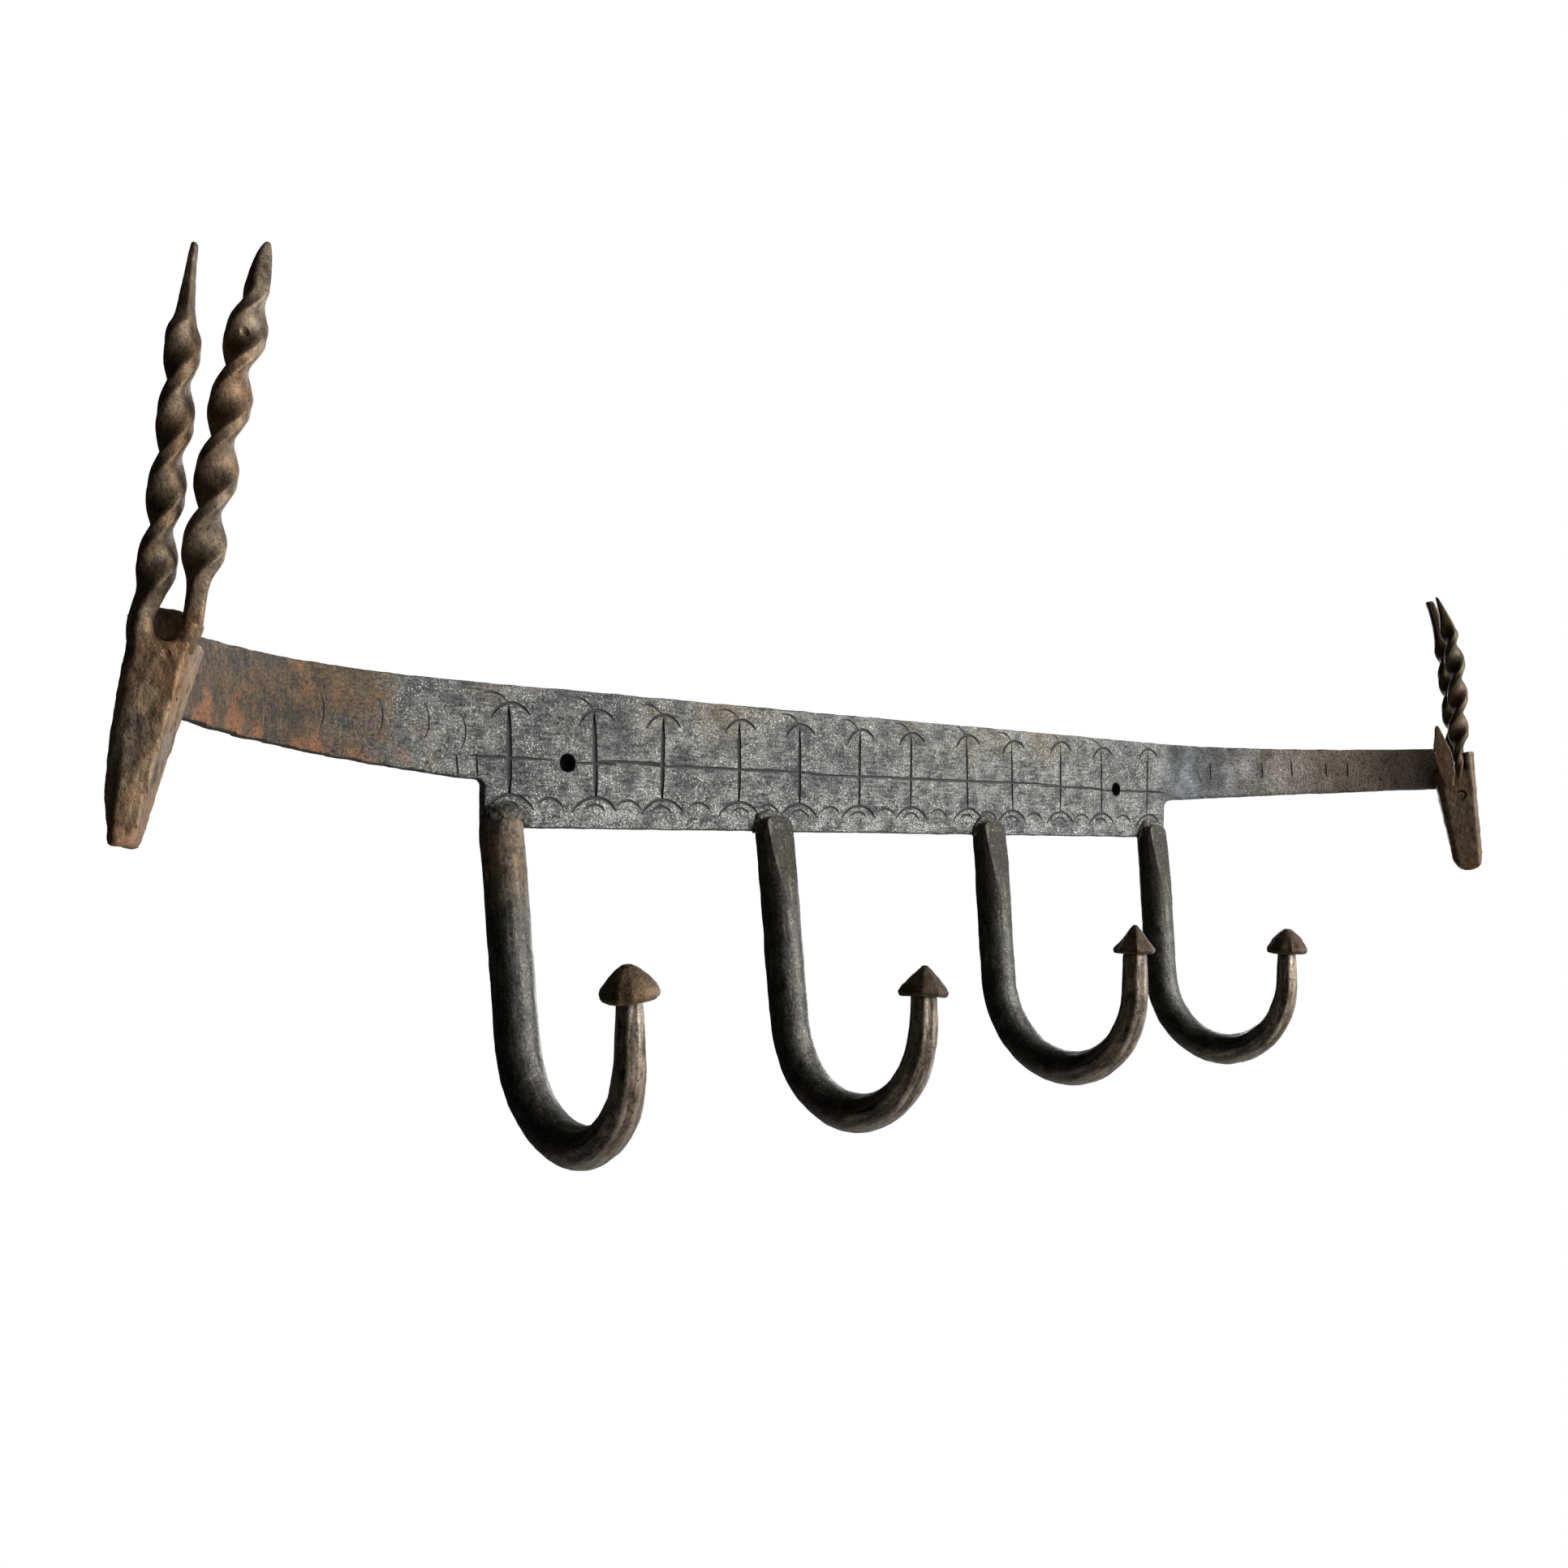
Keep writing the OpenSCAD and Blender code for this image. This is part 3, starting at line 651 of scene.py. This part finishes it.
def makeHook(i):
    r = hooks["rod"] / 2
    x, low, drop = hooks["x"][i], hooks["low"][i], hooks["drop"][i]
    base = hooks["plateLow"]
    backR = hooks["backR"][i]
    frontR = hooks["reach"][i] - low
    backMid = Vector((-low, r + backR - drop))
    frontMid = Vector((-low, r + frontR - drop))
    toBend = backMid - Vector((-r, 0))
    shank = math.atan2(toBend.y, toBend.x) + math.asin(backR / toBend.length)
    shankLong = math.sqrt(toBend.length ** 2 - backR ** 2)
    along = Vector((0, math.cos(shank), math.sin(shank)))
    start = at(x, -r, base) - along * hooks["lap"] * mm
    deselect()
    bpy.ops.mesh.primitive_circle_add(vertices=hooks["sides"], radius=hooks["topWide"] * r * mm,
                                      fill_type="NGON", location=start,
                                      rotation=(math.atan2(-along.y, along.z), 0, 0))
    piece = named("roundBarHook%d" % (i + 1))
    piece.data.materials.append(hookIron)
    rings = []
    path = [start]
    openMesh(piece)
    here = start
    for step, grow in hooks["top"]:  # rounded top end
        pull(along * step * mm)
        here = here + along * step * mm
        swell((grow, grow, grow), here)
    rest = shankLong + hooks["lap"] - sum(step for step, grow in hooks["top"])
    for k in range(6):
        pull(along * rest / 6 * mm)
    here = here + along * rest * mm
    path.append(here)
    width = r
    backTurn = math.degrees(shank) + 180
    neckLong = -hooks["capDrop"][i] - frontMid.y + hooks["plug"]   # the tip is let into its cap
    frontRun = math.pi / 2 * frontR + neckLong
    steps = hooks["bendSteps"]
    for angle, mid in ((backTurn, backMid), (90, frontMid)):
        centre = at(x, mid.x, base + mid.y)
        for k in range(steps):
            pull((0, 0, 0))
            turn(-angle / steps, "X", centre)
            here = centre + Matrix.Rotation(-math.radians(angle / steps), 3, "X") @ (here - centre)
            path.append(here)
            if mid is frontMid:
                run = math.pi / 2 * frontR * (k + 1) / steps
                newWidth = r + (hooks["neck"][i] / 2 - r) * run / frontRun
                swell((newWidth / width,) * 3, here)
                width = newWidth
                rings.append((here.copy(), width))
    for k in range(4):
        pull(at(0, 0, neckLong / 4))
        here = here + at(0, 0, neckLong / 4)
        newWidth = r + (hooks["neck"][i] / 2 - r) * (math.pi / 2 * frontR + neckLong * (k + 1) / 4) / frontRun
        swell((newWidth / width,) * 3, here)
        width = newWidth
        rings.append((here.copy(), width))
    path.append(here)
    sector = 360 / hooks["sides"]
    for centre, width in rings:   # hammered flats on the drawn-out tip
        def onFlat(p):
            off = p - centre / mm
            if off.length > 1.08 * width:
                return False
            side = math.degrees(math.asin(max(-1, min(1, off.x / max(off.length, 0.01)))))
            return round(side / sector) % 2
        pickVerts(piece, onFlat)
        swell((hooks["flat"],) * 3, centre)
    faceOut()
    finishWith(piece, "SUBSURF", levels=3, render_levels=3)
    roughen(piece, *hooks["hammer"])
    roughen(piece, *hooks["skin"])
    if hooks["scarf"][i]:   # flat hammered on the front of the top, for the weld
        facing = (Vector((0, -along.z, along.y)) * -1 - hooks["scarfSlope"] * along).normalized()
        spot = at(x, -r, base + hooks["scarfUp"]) + facing * hooks["scarf"][i] * mm
        block = hooks["scarfBlock"]
        deselect()
        bpy.ops.mesh.primitive_cube_add(size=block * mm, location=spot + facing * block / 2 * mm,
                                        rotation=facing.to_track_quat("Z", "Y").to_euler())
        carve(piece, named("scarfCut"))
    seat = 2 * hooks["rod"]
    deselect()
    bpy.ops.mesh.primitive_cube_add(size=1, scale=(seat * mm, hooks["rod"] * mm, 2 * hooks["lap"] * mm),
                                    location=at(x, hooks["front"] + r, base + hooks["lap"]))
    carve(piece, named("plateSeat"))
    straighten(piece, path)
    handIn(piece, "hook_%d" % (i + 1))


for i in range(4):
    makeHook(i)
print("hooks made")

# caps

caps = {
    "sides": (14, 9, 7, 12), "soft": (7, 3, 2, 6), "rim": 1.6,
    "wide": (20.2, 19.4, 18.4, 19.4), "high": (11, 11.5, 12, 11.5),
    "steps": (((0.34, 0.93), (0.62, 0.68), (0.85, 0.4), (1, 0.14)), ((0.36, 0.85), (0.68, 0.5), (1, 0.1)),
              ((0.55, 0.55), (1, 0.1)), ((0.3, 0.92), (0.6, 0.68), (0.85, 0.4), (1, 0.14))),
    "tilt": ((4, -9), (-2, 5), (0, 1), (2, -1)), "spin": (22, 8, 30, 15), "hammer": (4.5, 0.8),
    "footIn": 0.93, "bevel": 0.5,
}


def makeCap(i):
    foot = at(hooks["x"][i], -hooks["reach"][i], hooks["plateLow"] - hooks["capDrop"][i])
    r = caps["wide"][i] / 2
    rim, high = caps["rim"], caps["high"][i]
    deselect()
    bpy.ops.mesh.primitive_cylinder_add(vertices=caps["sides"][i], radius=r * mm, depth=rim * mm,
                                        location=foot + at(0, 0, rim / 2),
                                        rotation=(0, 0, math.radians(caps["spin"][i])))
    piece = named("hammeredCap%d" % (i + 1))
    piece.data.materials.append(brownIron)
    openMesh(piece)
    pickFaces(piece, lambda middle, normal: normal.z < -0.9)
    swell((caps["footIn"], caps["footIn"], 1), foot)
    pickFaces(piece, lambda middle, normal: normal.z > 0.9)
    before, width = rim, 1
    for share, grow in caps["steps"][i]:
        pull(at(0, 0, share * high - before))
        swell((grow / width, grow / width, 1), foot)
        before, width = share * high, grow
    pickAll()
    bpy.ops.mesh.bevel(offset=caps["bevel"] * mm, segments=2, affect="EDGES")
    pickAll()
    bpy.ops.mesh.subdivide(number_cuts=4)
    turn(caps["tilt"][i][0], "X", foot)
    turn(caps["tilt"][i][1], "Y", foot)
    closeMesh()
    soften(piece, caps["soft"][i])
    roughen(piece, *caps["hammer"])
    handIn(piece, "hook_cap_%d" % (i + 1))


for i in range(4):
    makeCap(i)
print("caps made")

# welds

welds = {
    "cell": 0.5, "soft": 3, "lumps": (3.4, 1.5), "spatter": (1.2, 0.45), "out": -6, "beadSize": (1.1, 1.7),
    "beads": ((-4.8, -18.3), (-2.4, -17.9), (0, -17.7), (2.4, -17.9), (4.8, -18.3), (7.2, -19.6), (7.8, -22)),
    "extra": (((11.4, -20.4, 2.7), (9.4, -22, 2.2), (12, -22.2, 2)), ((-5.4, -18, 1.9),), ((6.5, -18, 1.8),),
              ((8, -19, 1.9),)),
    "dome": ((7.9, 5.6, 4.2), (8, 4.3, 4.6), (7.9, 4.1, 4.4), (7.9, 4.1, 4.4)),
    "domeAt": ((0.2, -9.8, -20), (0, -7.6, -22.8), (0.1, -7.6, -22.4), (0.2, -7.6, -22.4)),
}


def makeWeld(i):
    node, name = "hook_weld_%d" % (i + 1), "weldBead%d" % (i + 1)
    blobs = [copyNode(node, name)]
    beads = [(*bead, random.uniform(*welds["beadSize"])) for bead in welds["beads"]]
    for x, z, size in beads + list(welds["extra"][i]):
        deselect()
        bpy.ops.mesh.primitive_ico_sphere_add(subdivisions=3, radius=size * mm,
                                              location=at(hooks["x"][i] + x, welds["out"] + 0.3 * size, z))
        blobs.append(named(name))
    x, y, z = welds["domeAt"][i]       # the weld is heaped over the end of the hook
    deselect()
    bpy.ops.mesh.primitive_ico_sphere_add(subdivisions=4, radius=1, location=at(hooks["x"][i] + x, y, z),
                                          scale=[size * mm for size in welds["dome"][i]])
    blobs.append(named(name))
    piece = joined(blobs, name)
    piece.data.materials.append(weldIron)
    recast(piece, welds)
    roughen(piece, *welds["lumps"])
    roughen(piece, *welds["spatter"])
    handIn(piece, node)


for i in range(4):
    makeWeld(i)
print("welds made")

# heads

heads = {
    "cell": 0.6, "soft": 4, "hammer": (6, 0.95), "skin": (2.2, 0.3), "armTurn": (-124, -56),
    "armEnd": ((-345.82, -84.29, 20), (351.82, -84.29, 12)), "inset": (6.2, -5.8), "lean": (-8, 0), "tilt": 5,
    "poll": (8, 9.5, 13), "pollAt": (4, 0.4, 0), "flare": 20, "flareUp": 3, "drawIn": (0.125, 0.033),
    "flareWide": (1.2, 0.4), "eye": (7.7, 5.8, -12.6), "eyeMark": (2.2, 250, 1.3, 1.2), "eyeTurn": 70,
    "nostril": (9.4, 4.6, -38.8), "nostrilCut": (3, 1.1, 0.9), "nostrilTurn": 25,
    "dimple": (15.3, 4.2, -5.6), "punch": 2.6, "muzzle": (0.0, 14.0, -54, 6.5), "muzzleCuts": (22, 45, 68),
    "corner": (-5, -1), "cornerIn": (0, 2.2, 0), "flatBelow": -52.5, "flatAt": (7, 0, -53.5),
    "flatWide": 1.35, "frontFrom": 12.8,
    "dressed": ((1, -1, (-1.6, 3.3, -2.6)), (-1, -1, (0, 0, -2.6)), (1, -51.5, (-1.4, 3.4, 0))),
    "cheek": (6, 4.15, 34), "cheekAt": (8, -2.9, -17), "cheekTop": 15.5,
}

# the horns' sizes stand here because the left head holds their roots
horns = {
    "long": (105, 94), "trim": (3.5, -0.5), "wide": (10.8, 9.8), "taper": (0.07, 0.16), "thick": 5.4,
    "root": (4.8, 5.4), "pitch": 37, "start": ((69, 128), (143, 43)), "gapRoot": 10.2, "gapTip": 17.6,
    "rake": 2.5, "sweep": 8.5, "inset": (3.1, 0), "lean": (0.6, 0), "forward": (10.2, 5.8),
    "shift": ((0, 0), (1.3, -1.6)), "flat": ((0.076, 0.2), (0.03, 0.15)), "begin": ((0.13, 0.1), (0, 0)),
    "splay": ((0, 2.2), (0, 0)), "splayHigh": 13, "shiftFull": 0.55, "shiftBack": (0.6, 0.55),
    "bow": ((0.8, 1.1), (0.5, 1.2)), "corner": 0.28, "draw": (2.5, 0.55),
    "twistEnd": ((0.85, 0.77), (0.83, 0.74)),
    "thin": (((0.78, 0.85), (0.75, 0.28)), ((0.78, 0.7), (0.72, 0.5))),
    "tip": (((0.12, 0.24), (0.25, 0.24)), ((0.12, 0.24), (0.5, 0.8))),
    "dimple": (15.2, 10, 77.5), "punch": 2, "sunk": 6, "steps": 44, "hammer": (6, 0.35), "skin": (1.8, 0.12),
}


def hornLength(side, hand):
    return horns["long"][side] - hand * horns["trim"][side]


def ease(x):
    x = min(1, max(0, x))
    return x * x * (3 - 2 * x)


def hornRun(side, hand, z):   # middle line of a bent horn in the head's frame: forwards and sideways
    share = max(0, z / hornLength(side, hand))
    over = (horns["gapRoot"] + (horns["gapTip"] - horns["gapRoot"]) * share ** 2) / 2
    over = (1, -1)[hand] * over - z * math.tan(math.radians(horns["lean"][side])) + horns["inset"][side]
    backFrom, back = horns["shiftBack"]
    shifted = ease(share / horns["shiftFull"]) * (1 - back * ease((share - backFrom) / (1 - backFrom)))
    forward = (horns["forward"][side] + z * math.tan(math.radians(horns["rake"]))
               - horns["sweep"] * share ** 4 + horns["shift"][side][hand] * shifted)
    over -= horns["splay"][side][hand] * (1 - ease(z / horns["splayHigh"]))
    if side == 0:
        bowAt, bow = horns["bow"][hand]
        over -= bow * ease((share - bowAt) / (1 - bowAt))
    if z < 0:    # the root draws in towards the middle of the head
        forward, over = forward + z * heads["drawIn"][0], over * (1 + z * heads["drawIn"][1])
    return forward, (1, -1)[side] * over    # the inner horn lies on opposite sides of the two heads


def headPlace(side):  # the frame of a head: X forwards, Z up, in metres
    return (Matrix.Translation(at(*heads["armEnd"][side]))
            @ Matrix.Rotation(math.radians(heads["armTurn"][side]), 4, "Z")
            @ Matrix.Translation(at(0, heads["inset"][side], 0))
            @ Matrix.Rotation(math.radians(-heads["tilt"]), 4, "Y")
            @ Matrix.Rotation(math.radians(heads["lean"][side]), 4, "X"))


def setIn(piece, side, spot, tilt=0.0):  # puts a shape into the frame of a head
    turned = Matrix.Rotation(math.radians(tilt), 4, "Y")
    piece.matrix_world = headPlace(side) @ Matrix.Translation(at(*spot)) @ turned
    only(piece)
    return named(piece.name)


def ball(radius):
    deselect()
    bpy.ops.mesh.primitive_ico_sphere_add(subdivisions=3, radius=radius * mm)
    return named("ball")


def makeHead(side):
    node = ("head_left", "head_right")[side]
    name = ("forgedHeadLeft", "forgedHeadRight")[side]
    lumps = [copyNode(node, name)]
    place = headPlace(side)
    toHead = place.inverted()

    def inHead(p):
        return toHead @ (p * mm) / mm

    openMesh(lumps[0])
    if side == 0:
        edge, floor = heads["corner"]       # outer top corner hammered in
        pickVerts(lumps[0], lambda p: inHead(p).y < edge and inHead(p).z > floor)
        push(place.to_3x3() @ at(*heads["cornerIn"]))
        pickVerts(lumps[0], lambda p: inHead(p).z < heads["flatBelow"])    # flat muzzle
        swell((heads["flatWide"], heads["flatWide"], 1), place @ at(*heads["flatAt"]))
        for hand, floor, step in heads["dressed"]:      # broad front, top edge hammered down
            def onCorner(p):
                spot = inHead(p)
                return spot.x > heads["frontFrom"] and spot.y * hand > 0.2 and floor < spot.z < floor + 2
            pickVerts(lumps[0], onCorner)
            push(place.to_3x3() @ at(*step))
    else:
        back, front, low, radius = heads["muzzle"]      # round muzzle
        for way, end in ((-1, back), (1, front)):
            for angle in heads["muzzleCuts"]:
                slant = Vector((way * math.sin(math.radians(angle)), 0, -math.cos(math.radians(angle))))
                spot = at(end - way * radius, 0, low + radius) + slant * radius * mm
                pickAll()
                bpy.ops.mesh.bisect(plane_co=place @ spot, plane_no=place.to_3x3() @ slant,
                                    use_fill=True, clear_outer=True)
    closeMesh()
    if side == 0:           # roots of the horns run out into the head, the bar's end turns up between them
        for hand in range(2):
            x, y = hornRun(side, hand, 0)
            wide = horns["root"][hand] / 2
            deselect()
            below, above = heads["flareWide"]
            bpy.ops.mesh.primitive_cone_add(vertices=24, radius1=(wide + below) * mm,
                                            radius2=(wide + above) * mm, depth=heads["flare"] * mm)
            root = named(name)
            openMesh(root)
            pickVerts(root, lambda p: p.z < 0)
            push(at(-heads["flare"] * heads["drawIn"][0], -heads["flare"] * heads["drawIn"][1] * y, 0))
            closeMesh()
            lumps.append(setIn(root, side, (x, y, heads["flareUp"] - heads["flare"] / 2)))
        deselect()
        bpy.ops.mesh.primitive_cube_add(size=1, scale=[size * mm for size in heads["poll"]])
        lumps.append(setIn(named(name), side, heads["pollAt"]))
        cheek = ball(1)         # full outer cheek
        cheek.scale = heads["cheek"]
        cheek = named(name)
        openMesh(cheek)
        bpy.ops.mesh.bisect(plane_co=at(0, 0, heads["cheekTop"]), plane_no=(0, 0, 1), use_fill=True,
                            clear_outer=True)
        closeMesh()
        lumps.append(setIn(cheek, side, heads["cheekAt"]))
    piece = joined(lumps, name)
    piece.data.materials.append(brownIron)
    recast(piece, heads)
    roughen(piece, *heads["hammer"])
    roughen(piece, *heads["skin"])
    for face in (-1, 1):    # punched eyes and nostrils on both cheeks
        x, y, z = heads["eye"]
        marks = [setIn(crescent(*heads["eyeMark"]), side, (x, face * y, z), heads["eyeTurn"])]
        x, y, z = heads["nostril"]
        marks.append(setIn(wedge(*heads["nostrilCut"]), side, (x, face * y, z), heads["nostrilTurn"]))
        cutter = joined(marks, "cheekMarks")
        cutter.data.materials[0] = brownIron
        carve(piece, cutter)
    if side == 0:           # a stray punch mark below the inner horn
        carve(piece, setIn(ball(heads["punch"]), side, heads["dimple"]))
    handIn(piece, node)


for side in range(2):
    makeHead(side)
print("heads made")

# ear

ear = {"cell": 0.45, "soft": 4, "hammer": (4, 0.5)}


def makeEar():
    piece = copyNode("ear_right", "leafEar")
    piece.data.materials.append(brownIron)
    recast(piece, ear)
    roughen(piece, *ear["hammer"])
    handIn(piece, "ear_right")


makeEar()
print("ear made")

# horns: flat bar drawn to a point, round at the root, twisted while hot

def hornSection(side, hand, share):  # half width and half thickness at a share of the length
    begin, full = horns["flat"][hand]
    grow = ease((share - begin) / (full - begin))
    root = horns["root"][hand]
    a = (root + (horns["wide"][hand] - root) * grow) / 2 * (1 - horns["taper"][hand] * share)
    b = (root + (horns["thick"] - root) * grow) / 2
    narrow, power = horns["thin"][side][hand]
    tipWide, tipThick = horns["tip"][side][hand]
    end = horns["twistEnd"][side][hand]
    thin = (max(0, share - narrow) / (1 - narrow)) ** power
    point = (max(0, share - end) / (1 - end)) ** horns["draw"][hand]
    return a * (1 - (1 - tipWide) * thin), b * (1 - (1 - tipThick) * point)


def makeHorn(side, hand):
    long = hornLength(side, hand)
    root, sunk, steps = horns["root"][hand], horns["sunk"], horns["steps"]
    deselect()
    bpy.ops.mesh.primitive_cube_add(size=1, scale=(root * mm, root * mm, sunk * mm),
                                    location=at(0, 0, -sunk / 2))
    piece = named("twistedHorn" + ("Left", "Right")[side] + ("Inner", "Outer")[hand])
    piece.data.materials.append(twistIron)
    openMesh(piece)
    bpy.ops.mesh.select_mode(type="EDGE")
    bpy.ops.mesh.select_all(action="DESELECT")
    mesh = bmesh.from_edit_mesh(piece.data)
    for edge in mesh.edges:
        edge.select_set(abs(edge.verts[0].co.z - edge.verts[1].co.z) > mm)
    bmesh.update_edit_mesh(piece.data)
    bpy.ops.mesh.bevel(offset=horns["corner"] * root * mm, segments=3, affect="EDGES")
    pickFaces(piece, lambda middle, normal: normal.z > 0.9)
    before = hornSection(side, hand, 0)
    for k in range(steps):
        section = hornSection(side, hand, (k + 1) / steps)
        pull(at(0, 0, long / steps))
        swell((section[0] / before[0], section[1] / before[1], 1), (0, 0, 0))
        before = section
    closeMesh()
    begin, end = horns["begin"][side][hand], horns["twistEnd"][side][hand]
    perLength = 2 * math.pi / horns["pitch"]
    finishWith(piece, "SIMPLE_DEFORM", deform_method="TWIST", deform_axis="Z",
               angle=perLength * (end - begin) * long,
               limits=((sunk + begin * long) / (long + sunk), (sunk + end * long) / (long + sunk)))
    openMesh(piece)
    turn(horns["start"][side][hand], "Z", (0, 0, 0))
    for k in range(-1, steps + 1):    # set each ring over to where the bent horn is
        z = k * long / steps if k >= 0 else -sunk
        pickVerts(piece, lambda p: abs(p.z - z) < 0.3)
        push(at(*hornRun(side, hand, z), 0))
    faceOut()
    finishWith(piece, "SUBSURF", levels=2, render_levels=2)
    piece.matrix_world = headPlace(side)
    bpy.ops.object.transform_apply(location=True, rotation=True, scale=True)
    roughen(piece, *horns["hammer"])
    roughen(piece, *horns["skin"])
    if (side, hand) == (0, 0):
        carve(piece, setIn(ball(horns["punch"]), side, horns["dimple"]))
    node = "horn_" + ("left", "right")[side] + "_" + ("inner", "outer")[hand]
    handIn(piece, node)


for side in range(2):
    for hand in range(2):
        makeHorn(side, hand)
print("horns made")

# studio: pale round floor, white surroundings, a big soft light from the right and a weaker one behind

studio = {
    "floorLow": -1.2, "floorWide": 1.6, "floorGlow": 0.45, "fill": 0.07, "flagReach": 0.3,
    "keyTurn": 76, "keyHigh": 17, "keyPower": 53, "backTurn": 172, "backHigh": 3, "backPower": 24,
    "keyFar": 1.7, "keyWide": 1.1, "cameraAt": (-486.64, -486.95, -35), "cameraTurn": -41.54,
    "focus": 1935, "image": 1932, "horizonBelow": 92, "film": 36, "drumWide": 1.5, "drumHigh": 3,
    "shadeCardWide": 0.9, "shadeCardAt": 0.6, "aim": (0, -0.04, -0.03),
}


def makeStudio():
    scene = bpy.context.scene
    scene.view_settings.view_transform = "Standard"
    deselect()
    bpy.ops.mesh.primitive_circle_add(vertices=96, radius=studio["floorWide"], fill_type="NGON",
                                      location=(0, 0, studio["floorLow"]))
    floor = named("floor")
    material, shader, add = startMaterial("paleFloor")[:3]
    direct = add("LightPath")["Is Camera Ray"]
    glow = add("Math", [direct, studio["floorGlow"]], operation="MULTIPLY")[0]
    feed(shader, {"Base Color": "#f4f3f0", "Roughness": 1.0, "Specular IOR Level": 0,
                  "Emission Color": "#ffffff", "Emission Strength": glow})
    floor.data.materials.append(material)
    world = bpy.data.worlds.new("whiteStudio")
    scene.world = world
    world.use_nodes = True
    add = partial(addNode, world.node_tree)
    path = add("LightPath")
    seen = add("Math", [path["Is Camera Ray"], path["Is Glossy Ray"]], operation="MAXIMUM")[0]
    seen = add("Math", [seen, path["Is Transmission Ray"]], operation="MAXIMUM")[0]
    level = add("MapRange", [seen, 0, 1, studio["fill"], 1.0])[0]
    feed(world.node_tree.nodes["Background"], {"Color": "#ffffff", "Strength": level})
    # dark half drum on the left of the view, so that the left sides fall off to black
    deselect()
    bpy.ops.mesh.primitive_cylinder_add(vertices=64, radius=studio["drumWide"], depth=studio["drumHigh"])
    flag = named("darkFlag")
    openMesh(flag)
    view = math.radians(studio["cameraTurn"])
    right = Vector((math.cos(view), math.sin(view), 0))
    bpy.ops.mesh.bisect(plane_co=right * studio["flagReach"], plane_no=right, clear_outer=True)
    closeMesh()
    material, shader = startMaterial("blackCloth")[:2]
    feed(shader, {"Base Color": "#101010", "Roughness": 1.0})
    flag.data.materials.append(material)
    flag.visible_camera = False
    flag.visible_shadow = False
    for x in bar["holes"]:    # a dark card behind each screw hole: painted shade of the wall behind, so that the holes look dark
        deselect()
        bpy.ops.mesh.primitive_circle_add(vertices=32, radius=bar["holeWide"] * studio["shadeCardWide"] * mm,
                                          fill_type="NGON", location=at(x, studio["shadeCardAt"], 0),
                                          rotation=(math.pi / 2, 0, 0))
        card = named("holeShadeCard")
        card.data.materials.append(material)
    aim = Vector(studio["aim"])
    for name in ("key", "back"):
        away = view - math.pi / 2 + math.radians(studio[name + "Turn"])
        high = math.radians(studio[name + "High"])
        direction = Vector((math.cos(away) * math.cos(high), math.sin(away) * math.cos(high), math.sin(high)))
        bpy.ops.object.light_add(type="AREA", location=aim + direction * studio["keyFar"])
        lamp = bpy.context.object
        lamp.name = name + "Light"
        lamp.rotation_euler = direction.to_track_quat("Z", "Y").to_euler()
        lamp.data.size = studio["keyWide"]
        lamp.data.energy = studio[name + "Power"]
    bpy.ops.object.camera_add(location=at(*studio["cameraAt"]),
                              rotation=(math.pi / 2, 0, math.radians(studio["cameraTurn"])))
    camera = bpy.context.object
    camera.name = "photoCamera"
    camera.data.sensor_width = studio["film"]
    camera.data.lens = studio["film"] * studio["focus"] / studio["image"]
    camera.data.shift_y = studio["horizonBelow"] / studio["image"]
    camera.data.clip_start = 0.01
    scene.camera = camera


makeStudio()
print("studio made")
